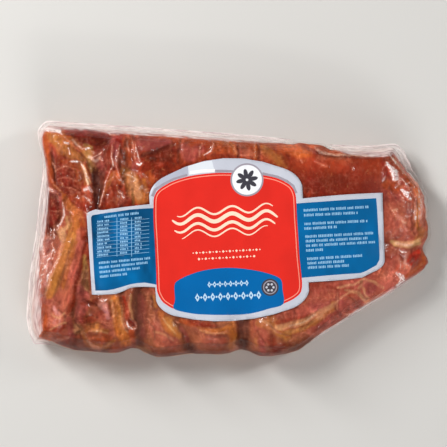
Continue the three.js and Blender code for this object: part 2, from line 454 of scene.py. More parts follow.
@dataclass
class PackForm:
    """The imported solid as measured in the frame."""

    node: Piece
    points: int = 960  # round the outline
    squareness: float = 5.0  # how sharply the inward direction turns at the corners
    half_size: Pair = (125.0, 71.0)
    nudge_spread: float = 40.0  # square of how far a nudge is felt
    high: float = 80.0  # rays start this high
    circle_radius: float = 122.0
    search: float = 14.0  # the top face's rim lies within this of the outline
    probe_step: float = 0.4  # between the heights that look for it
    steep: float = 1.2  # slope that tells the side from the top face
    seam_top: float = 14.4  # the solid's own low strip ends below this height
    outside: float = 6.0  # level rays start this far out
    side_shares: tuple[float, ...] = (0.86, 0.72, 0.58, 0.44, 0.31, 0.19, 0.1, 0.03)
    low_levels: tuple[float, ...] = (9.6, 7.4, 5.2, 3.2, 1.5, 0.3)
    facet_spread: float = 1.7  # smooths the solid's facets on the top face
    swelling: tuple[float, ...] = (0.7, 1.3, 1.8, 2.0)  # of the meat, down to the seam

    def __post_init__(self) -> None:
        """Measures everything once."""
        corners, triangles = triangles_of(self.node)
        self.tree: BVHTree = BVHTree.FromPolygons(corners.tolist(), triangles.tolist())
        self.outline: Array = blur_round(evenly(outline_of(self.node), self.points), 0.9)
        pull = -np.sign(self.outline) * np.abs(self.outline / self.half_size) ** self.squareness
        pull /= self.half_size
        self.inward: Array = pull / np.linalg.norm(pull, axis=1, keepdims=True)
        rounder = blur_round(self.outline, 3.2)
        for x, y, reach in ROUNDED:
            self.outline = self.outline + self._near(x, y, reach ** 2)[:, None] * (rounder - self.outline)
        self.nudge: Array = np.zeros(self.points)
        for x, y, out in NUDGE:
            self.nudge = np.maximum(self.nudge, out * self._near(x, y, self.nudge_spread))
        self.outline = self.outline - self.inward * self.nudge[:, None]
        self._find_strip()
        self._find_rim()
        self._measure_sides()
        self._measure_top()
        self._measure_edge()

    def _near(self, x: float, y: float, spread: float) -> Array:
        """How near each point of the outline is to a place, from 1 at it, over the root of a spread."""
        return np.exp(-np.sum((self.outline - (x, y)) ** 2, axis=1) / spread)

    def drop(self, x: float, y: float) -> float:
        """The height of the solid's surface as seen from above, or nan beside it."""
        hit = self.tree.ray_cast(Vector((x, y, self.high)), Vector((0, 0, -1)))[0]
        return hit.z if hit else math.nan

    def circle(self) -> Array:
        """A circle as long as the outline, for noise that joins up round the pack."""
        angles = np.arange(self.points) * 2 * math.pi / self.points
        return self.circle_radius * np.column_stack([np.cos(angles), np.sin(angles)])

    def inset(self, offset: Array | float) -> Array:
        """The outline moved inwards by an offset, in millimetres."""
        return self.outline + self.inward * np.broadcast_to(offset, (self.points,))[:, None]

    def _find_strip(self) -> None:
        """Sets the whitish strip's width all round, from the places where it is known."""
        known = np.array(STRIP)
        index = [int(np.argmin(np.hypot(*(self.outline - place[:2]).T))) for place in known]
        order = np.argsort(index)
        places = np.array(index)[order]
        widths = np.interp(np.arange(self.points), places, known[order, 2], period=self.points)
        self.strip: Array = blur_round(widths, 4)

    def _find_rim(self) -> None:
        """Finds how far in the seam ends and the top face starts, all round."""
        distances = np.arange(self.probe_step, self.search, self.probe_step)
        probes = np.array([[self.drop(*place) for place in self.inset(d)] for d in distances]).T
        slopes = np.diff(probes, axis=1) / self.probe_step
        self.seam_offset: Array = blur_round(distances[np.argmax(probes > self.seam_top, axis=1)] - 0.1, 3)
        is_side = (slopes > self.steep) & (distances[1:] < self.search - 2)
        last = np.where(is_side.any(axis=1), is_side.shape[1] - 1 - np.argmax(is_side[:, ::-1], axis=1), 4)
        rim = distances[last + 1]
        window = np.stack([np.roll(rim, k) for k in range(-12, 13)])
        self.rim_offset: Array = blur_round(np.median(window, axis=0), 8) + 0.3

    def _measure_sides(self) -> None:
        """Measures the side as rows of offsets and heights, from the rim down to the table."""
        offsets, heights = [], []
        for share in self.side_shares:
            offset = self.seam_offset + (self.rim_offset - self.seam_offset) * share
            offsets.append(offset)
            heights.append([self.drop(*place) for place in self.inset(offset)])
        for level in self.low_levels:
            reached = []
            for (x, y), (dx, dy) in zip(self.inset(-self.outside), self.inward):
                hit = self.tree.ray_cast(Vector((x, y, level)), Vector((dx, dy, 0)))
                reached.append(hit[3] - self.outside if hit[0] else 3.0)
            offsets.append(np.array(reached))
            heights.append(np.full(self.points, level))
        self.offsets: Array = np.array([blur_round(row, 2.5) for row in offsets])
        self.heights: Array = np.array([blur_round(np.array(row), 2.5) for row in heights])

    def _measure_top(self) -> None:
        """Charts the heights of the top face, smoothed over the solid's facets."""
        x, y = Chart.places()
        covered = self.inside(x, y, self.rim_offset - 0.2)
        heights = np.zeros(x.shape)
        for index in np.flatnonzero(covered):
            heights.flat[index] = self.drop(x.flat[index], y.flat[index])
        smooth = Chart(heights).blurred(self.facet_spread).values
        share = Chart(covered.astype(float)).blurred(self.facet_spread).values
        self.top: Chart = Chart(np.where(share > 1e-3, smooth / np.maximum(share, 1e-3), np.nan))
        self._fill_outwards()

    def _fill_outwards(self) -> None:
        """Carries the rim's heights out past the rim, so that charts can be smoothed there."""
        values = self.top.values
        while np.isnan(values).any():
            padded = np.pad(values, 1, constant_values=np.nan)
            near = np.stack([padded[:-2, 1:-1], padded[2:, 1:-1], padded[1:-1, :-2], padded[1:-1, 2:]])
            known = ~np.isnan(near)
            total = np.where(known, near, 0).sum(axis=0)
            count = known.sum(axis=0)
            values = np.where(np.isnan(values) & (count > 0), total / np.maximum(count, 1), values)
        self.top = Chart(values)

    def _measure_edge(self) -> None:
        """Charts how far each place is from the outline, in millimetres and in strip widths."""
        tree = KDTree(self.points)
        for index, (x, y) in enumerate(self.outline):
            tree.insert((x, y, 0), index)
        tree.balance()
        x, y = Chart.places()
        found = [tree.find((a, b, 0))[1:] for a, b in zip(x.ravel(), y.ravel())]
        nearest = np.array([index for index, _ in found]).reshape(x.shape)
        distance = np.array([far for _, far in found]).reshape(x.shape)
        self.edge: Chart = Chart(distance)
        self.edge_share: Chart = Chart(distance / (self.strip[nearest] + 0.4))
        self.edge_circle: Chart = Chart(self.circle()[nearest])

    def bulge(self) -> Array:
        """Works out how far the meat swells out into the seam where there is no strip.

        Returns:
            Millimetres, by row and point.
        """
        rows = np.zeros(len(self.offsets) + 1)
        most, seam = self.swelling[-1], len(self.side_shares) + 1
        rows[seam - len(self.swelling):seam] = self.swelling
        rows[seam:-2] = most
        rows[-2] = most / 2
        return rows[:, None] * (1 - ramp(0.6, 2.0, self.strip)) * (1 + self.nudge)

    def inside(self, x: Array, y: Array, offset: Array | float) -> Array:
        """Finds what lies inside the outline moved inwards.

        Args:
            x: places along.
            y: places across.
            offset: how far in it is moved.

        Returns:
            Whether each place does.
        """
        loop = self.inset(offset)
        turns = np.mod(np.arctan2(loop[:, 1], loop[:, 0]), 2 * math.pi)
        order = np.argsort(turns)
        turn, radius = turns[order], np.hypot(*loop.T)[order]
        wanted = np.interp(np.mod(np.arctan2(y, x), 2 * math.pi), turn, radius, period=2 * math.pi)
        return np.hypot(x, y) < wanted


# ---- shaders ----

class Signal:
    """A shader socket that takes part in arithmetic."""

    def __init__(self, sheet: "ShaderSheet", socket: bpy.types.NodeSocket) -> None:
        """Args: sheet is the material it belongs to, socket the output it stands for."""
        self.sheet = sheet
        self.socket = socket

    def _with(self, operation: str, first: "Signal | float", second: "Signal | float") -> "Signal":
        """Adds one Math node."""
        return self.sheet.node("Math", {"operation": operation}, {0: first, 1: second})

    def __add__(self, other: "Signal | float") -> "Signal":
        """self + other."""
        return self._with("ADD", self, other)

    def __radd__(self, other: float) -> "Signal":
        """other + self."""
        return self._with("ADD", other, self)

    def __sub__(self, other: "Signal | float") -> "Signal":
        """self - other."""
        return self._with("SUBTRACT", self, other)

    def __rsub__(self, other: float) -> "Signal":
        """other - self."""
        return self._with("SUBTRACT", other, self)

    def __mul__(self, other: "Signal | float") -> "Signal":
        """self * other."""
        return self._with("MULTIPLY", self, other)

    def __rmul__(self, other: float) -> "Signal":
        """other * self."""
        return self._with("MULTIPLY", other, self)

    def at_most(self, other: float) -> "Signal":
        """The signal cut off at a highest value."""
        return self._with("MINIMUM", self, other)

    def clamped(self) -> "Signal":
        """The signal kept between 0 and 1."""
        return self.sheet.node("Clamp", {}, {0: self})

    def stepped(self, low: float, high: float) -> "Signal":
        """A smooth rise from 0 where the signal is low to 1 where it is high."""
        settings = {"interpolation_type": "SMOOTHSTEP"}
        return self.sheet.node("MapRange", settings, {0: self, 1: low, 2: high, 3: 0.0, 4: 1.0})


class ShaderSheet:
    """One material and the nodes that are added to it."""

    def __init__(self, name: str) -> None:
        """Args: name is the material's name."""
        self.material = bpy.data.materials.new(name)
        self.material.use_nodes = True
        self.tree = self.material.node_tree
        self.tree.nodes.clear()
        self.output = self.tree.nodes.new("ShaderNodeOutputMaterial")

    def node(self, kind: str, settings: dict, inputs: dict, output: int | str = 0) -> Signal:
        """Adds a node.

        Args:
            kind: its type, without "ShaderNode" before it.
            settings: its own settings.
            inputs: values or signals for its sockets, by name or number.
            output: which of its outputs is wanted.

        Returns:
            That output.
        """
        made = self.tree.nodes.new("ShaderNode" + kind)
        for name, value in settings.items():
            setattr(made, name, value)
        for name, value in inputs.items():
            if isinstance(value, Signal):
                self.tree.links.new(value.socket, made.inputs[name])
            else:
                made.inputs[name].default_value = value
        return Signal(self, made.outputs[output])

    def place(self) -> Signal:
        """Where on the pack it is."""
        return self.node("TexCoord", {}, {}, "Object")

    def principled(self, inputs: dict) -> Signal:
        """The shader that most finishes have."""
        return self.node("BsdfPrincipled", {}, inputs)

    def attribute(self, name: str, output: str) -> Signal:
        """What a mesh attribute holds, as its Color, Vector or Fac."""
        return self.node("Attribute", {"attribute_name": name}, {}, output)

    def noise(self, place: Signal, scale: float, detail: float, roughness: float = 0.55) -> Signal:
        """Noise from 0 to 1 at a place, with scale in features per unit of the place."""
        inputs = {"Vector": place, "Scale": scale, "Detail": detail, "Roughness": roughness}
        return self.node("TexNoise", {}, inputs)

    def stretched(self, place: Signal, stretch: Triple) -> Signal:
        """A place with each of its axes multiplied."""
        return self.node("VectorMath", {"operation": "MULTIPLY"}, {0: place, 1: stretch})

    def mixed(self, share: Signal | float, first: Signal | tuple, second: Signal | tuple,
              blend: str = "MIX") -> Signal:
        """Mixes two colours.

        Args:
            share: how much of the second shows.
            first: a colour or a signal.
            second: another.
            blend: how they mix.

        Returns:
            The mixture.
        """
        first, second = (c if isinstance(c, Signal) else (*c, 1.0) for c in (first, second))
        settings = {"data_type": "RGBA", "blend_type": blend}
        return self.node("Mix", settings, {0: share, 6: first, 7: second}, 2)

    def bump(self, height: Signal, strength: float, distance: float) -> Signal:
        """A normal bent by a height, over a distance in metres."""
        return self.node("Bump", {}, {"Height": height, "Strength": strength, "Distance": distance})

    def finish(self, shader: Signal) -> Material:
        """Sends a shader to the material's surface."""
        self.tree.links.new(shader.socket, self.output.inputs["Surface"])
        return self.material


# ---- meshes ----

def new_object(name: str, corners: Array, faces: list, material: Material) -> Piece:
    """Makes a mesh object, shaded smooth.

    Args:
        name: its name.
        corners: its corners in millimetres.
        faces: its faces as lists of corner numbers.
        material: its material.

    Returns:
        The object, linked to the scene.
    """
    mesh = bpy.data.meshes.new(name)
    mesh.from_pydata((corners * MM).tolist(), [], faces)
    mesh.update()
    mesh.polygons.foreach_set("use_smooth", [True] * len(mesh.polygons))
    mesh.materials.append(material)
    made = bpy.data.objects.new(name, mesh)
    bpy.context.scene.collection.objects.link(made)
    return made


def store(piece: Piece, domain: str = "POINT", **layers: Array) -> None:
    """Writes numbers, vectors or colours to a mesh as attributes.

    Args:
        piece: the object.
        domain: what has a value each, its points or its faces' corners.
        layers: the values, by the attribute's name.
    """
    for name, values in layers.items():
        kind, key = {1: ("FLOAT", "value"), 3: ("FLOAT_VECTOR", "vector"),
                     4: ("FLOAT_COLOR", "color")}[1 if values.ndim == 1 else values.shape[1]]
        layer = piece.data.attributes.new(name, kind, domain)
        layer.data.foreach_set(key, np.ascontiguousarray(values, np.float32).ravel())


def triangulate(loops: list[Array], scattered: Array) -> tuple[Array, Array]:
    """Fills a plan outline with triangles that keep every loop's edges.

    Args:
        loops: closed loops of points; the first is the outline.
        scattered: further points inside it.

    Returns:
        The points, the outline's first and in order, and the triangles.
    """
    edges, start = [], 0
    for loop in loops:
        count = len(loop)
        edges += [(start + k, start + (k + 1) % count) for k in range(count)]
        start += count
    flat = [Vector(point) for point in np.vstack([*loops, scattered])]
    corners, _, faces, sources, _, _ = delaunay_2d_cdt(flat, edges, [], 1, 1e-5)
    new_number = {}
    for number, found in enumerate(sources):
        for old in found:
            new_number.setdefault(old, number)
    outline = [new_number[k] for k in range(len(loops[0]))]
    taken = set(outline)
    order = outline + [k for k in range(len(corners)) if k not in taken]
    place = np.empty(len(order), int)
    place[order] = np.arange(len(order))
    return np.array([corners[k][:] for k in order]), place[np.array(faces)]


def band(upper: Array, lower: Array) -> list[tuple[int, int, int, int]]:
    """Quads that join two loops of corner numbers and face outwards, the first being the upper."""
    return list(zip(upper, lower, np.roll(lower, -1), np.roll(upper, -1)))


@dataclass
class Shell:
    """A closed skin over the pack's form: its top face, its sides and its underside."""

    corners: Array
    faces: list
    down: Array  # way down the side from the rim
    depth: Array  # 0 on the top face, 1 at the rim, growing down the sides
    ring: Array  # which point of the outline a corner of the sides belongs to, or -1
    form: PackForm

    def __post_init__(self) -> None:
        """Notes which corners are on the sides, and where each is on the joined-up circle."""
        self.side: Array = self.depth >= 2
        self.around: Array = self.form.circle()[self.ring]

    def push(self, amount: Array) -> None:
        """Moves the sides' corners outwards."""
        self.corners[self.side, :2] -= (self.form.inward[self.ring] * amount[:, None])[self.side]


@dataclass
class ShellMaker:
    """Makes skins at any depth below the form's surface."""

    form: PackForm
    label_loop: Array
    fine: float = 0.6  # spacing of the top face's points
    coarse: float = 3.4  # and of those hidden by the label
    label_margin: float = 4.0
    least_fall: float = 0.15  # from one row of a side to the next
    foot: float = 0.4  # how far the underside lies within the last row
    floor_step: float = 3.0  # between the underside's points

    def top_points(self, rim_offset: Array) -> Array:
        """Points spread over the top face, wide apart well under the label.

        Args:
            rim_offset: how far in the top face starts.

        Returns:
            Their x and y.
        """
        chosen, label = [], drawn_in(self.label_loop, self.label_margin)
        for spacing, hidden in ((self.fine, False), (self.coarse, True)):
            x, y = grid(-CHART_REACH, CHART_REACH, (spacing, spacing * 0.866))
            x[1::2] += spacing / 2
            keep = self.form.inside(x, y, rim_offset + 0.7)
            keep &= within(label, x, y) == hidden
            chosen.append(np.stack([x[keep], y[keep]], axis=1))
        return np.vstack(chosen)

    def make(self, top: Chart, inset: Array, sink: float) -> Shell:
        """Makes one skin.

        Args:
            top: heights of its top face.
            inset: how far its sides lie inside the form's, by row and point.
            sink: how far its sides lie below the form's at the rim.

        Returns:
            The skin.
        """
        form, count = self.form, self.form.points
        everyone, corners, downs, depths, rings = np.arange(count), [], [], [], []

        def add(plan: Array, height: Array | float, down: Array | float, depth: float, ring: Array) -> Array:
            """Adds corners.

            Args:
                plan: their x and y.
                height: how high they are.
                down: way down the side from the rim.
                depth: which level they are on.
                ring: which points of the outline the first of them belong to.

            Returns:
                The corners.
            """
            corners.append(np.column_stack([plan, height + np.zeros(len(plan))]))
            downs.append(down + np.zeros(len(plan)))
            depths.append(depth + np.zeros(len(plan)))
            rings.append(np.pad(ring, (0, len(plan) - len(ring)), constant_values=-1))
            return corners[-1]

        rim_offset = form.rim_offset + inset[0]
        plan, triangles = triangulate([form.inset(rim_offset)], self.top_points(rim_offset))
        above = add(plan, top.at(*plan.T), 0.0, 0.0, everyone)[:count]
        depths[0][:count] = 1
        rim_height, down, faces = above[:, 2], np.zeros(count), triangles.tolist()
        upper, start = everyone, len(plan)
        for row, (offset, height) in enumerate(zip(form.offsets, form.heights)):
            place = form.inset(offset + inset[row + 1])
            height = height - sink * max(0.0, 1 - row / len(form.side_shares))
            height = np.minimum(height, rim_height - self.least_fall * (row + 1))
            down = down + np.linalg.norm(np.column_stack([place, height]) - above, axis=1)
            above = add(place, height, down, 2.0 + row, everyone)
            faces += band(upper, everyone + start)
            upper, start = everyone + start, start + count
        offset = form.offsets[-1] + inset[-1] + self.foot
        x, y = grid(-CHART_REACH, CHART_REACH, (self.floor_step, self.floor_step))
        keep = form.inside(x, y, offset + 2)
        plan, triangles = triangulate([form.inset(offset)], np.stack([x[keep], y[keep]], axis=1))
        add(plan, 0.15 + 0.5 * sink, 60.0, 3.0 + len(form.offsets), everyone[:0])
        faces += band(upper, everyone + start) + (start + triangles[:, ::-1]).tolist()
        parts = (np.concatenate(part) for part in (downs, depths, rings))
        return Shell(np.vstack(corners), faces, *parts, form)


def within(loop: Array, x: Array, y: Array) -> Array:
    """Finds what lies inside a closed loop.

    Args:
        loop: its points.
        x: places along.
        y: places across.

    Returns:
        Whether each place does.
    """
    result = np.zeros(np.shape(x), bool)
    near = (x >= loop[:, 0].min()) & (x <= loop[:, 0].max())
    near &= (y >= loop[:, 1].min()) & (y <= loop[:, 1].max())
    px, py = x[near], y[near]
    inside = np.zeros(px.shape, bool)
    for (ax, ay), (bx, by) in zip(loop, np.roll(loop, -1, axis=0)):
        if ay != by:
            crosses = (ay > py) != (by > py)
            inside ^= crosses & (px < (bx - ax) * (py - ay) / (by - ay) + ax)
    result[near] = inside
    return result


def sharpened(loop: Array, corners: Route) -> Array:
    """Gives a loop sharp corners.

    Args:
        loop: its points.
        corners: each with how far round it points give way to it.

    Returns:
        The new loop.
    """
    for x, y, reach in corners:
        near = np.hypot(loop[:, 0] - x, loop[:, 1] - y) < reach
        loop = np.roll(loop, -int(np.argmin(near)), axis=0)
        near = np.hypot(loop[:, 0] - x, loop[:, 1] - y) < reach
        first = int(np.argmax(near))
        loop = np.vstack([loop[:first], [(x, y)], loop[first:][~near[first:]]])
    return loop


def drawn_in(loop: Array, amount: float) -> Array:
    """Moves a counter-clockwise loop inwards.

    Args:
        loop: its points.
        amount: how far.

    Returns:
        The moved points.
    """
    ahead = np.roll(loop, -1, axis=0) - np.roll(loop, 1, axis=0)
    ahead /= np.maximum(np.linalg.norm(ahead, axis=1, keepdims=True), 1e-9)
    return loop + amount * np.column_stack([-ahead[:, 1], ahead[:, 0]])


# ---- pork ----

class Colours(Enum):
    """Screen colours from 0 to 255."""

    @property
    def light(self) -> Triple:
        """The colour as linear light."""
        return linear(*self.value)


class Tissue(Colours):
    """What the surface of smoked belly shows, and the painted highlights and painted shade laid on it."""

    LEAN = (128, 39, 20)
    DUSK = (112, 35, 20)
    WINE = (142, 32, 24)
    # painted shade in creases
    DEEP = (84, 28, 15)
    RED = (214, 56, 40)
    PLUM = (144, 63, 58)
    # painted highlight: the film's pink glints over the meat
    ROSE = (214, 148, 138)
    PINK = (158, 74, 58)
    CORAL = (162, 83, 62)
    RUST = (162, 68, 30)
    GOLD = (160, 85, 36)
    SAND = (162, 97, 46)
    TAN = (198, 144, 100)
    MOSS = (150, 108, 58)
    # fat, and in thin strokes a painted highlight along folds and creases
    FAT = (238, 202, 176)
    # brown, and painted shade in grooves, fine creases and along the lower edge
    BARK = (110, 60, 47)
    SOOT = (136, 74, 51)


# What is painted first lies lowest: tissue, strength, and the stroke's route.
GROUND = Stroke.table("""
CORAL .9 -112,60,22 -112,-60,20
SOOT .9 -75,-45,26 0,-62,20 45,-60,14
RUST .55 -40,60,12 40,54
LEAN .95 45,42,16 95,40
PINK .95 108,20,20 106,-18,16 70,-36,18 48,-44,14
""")
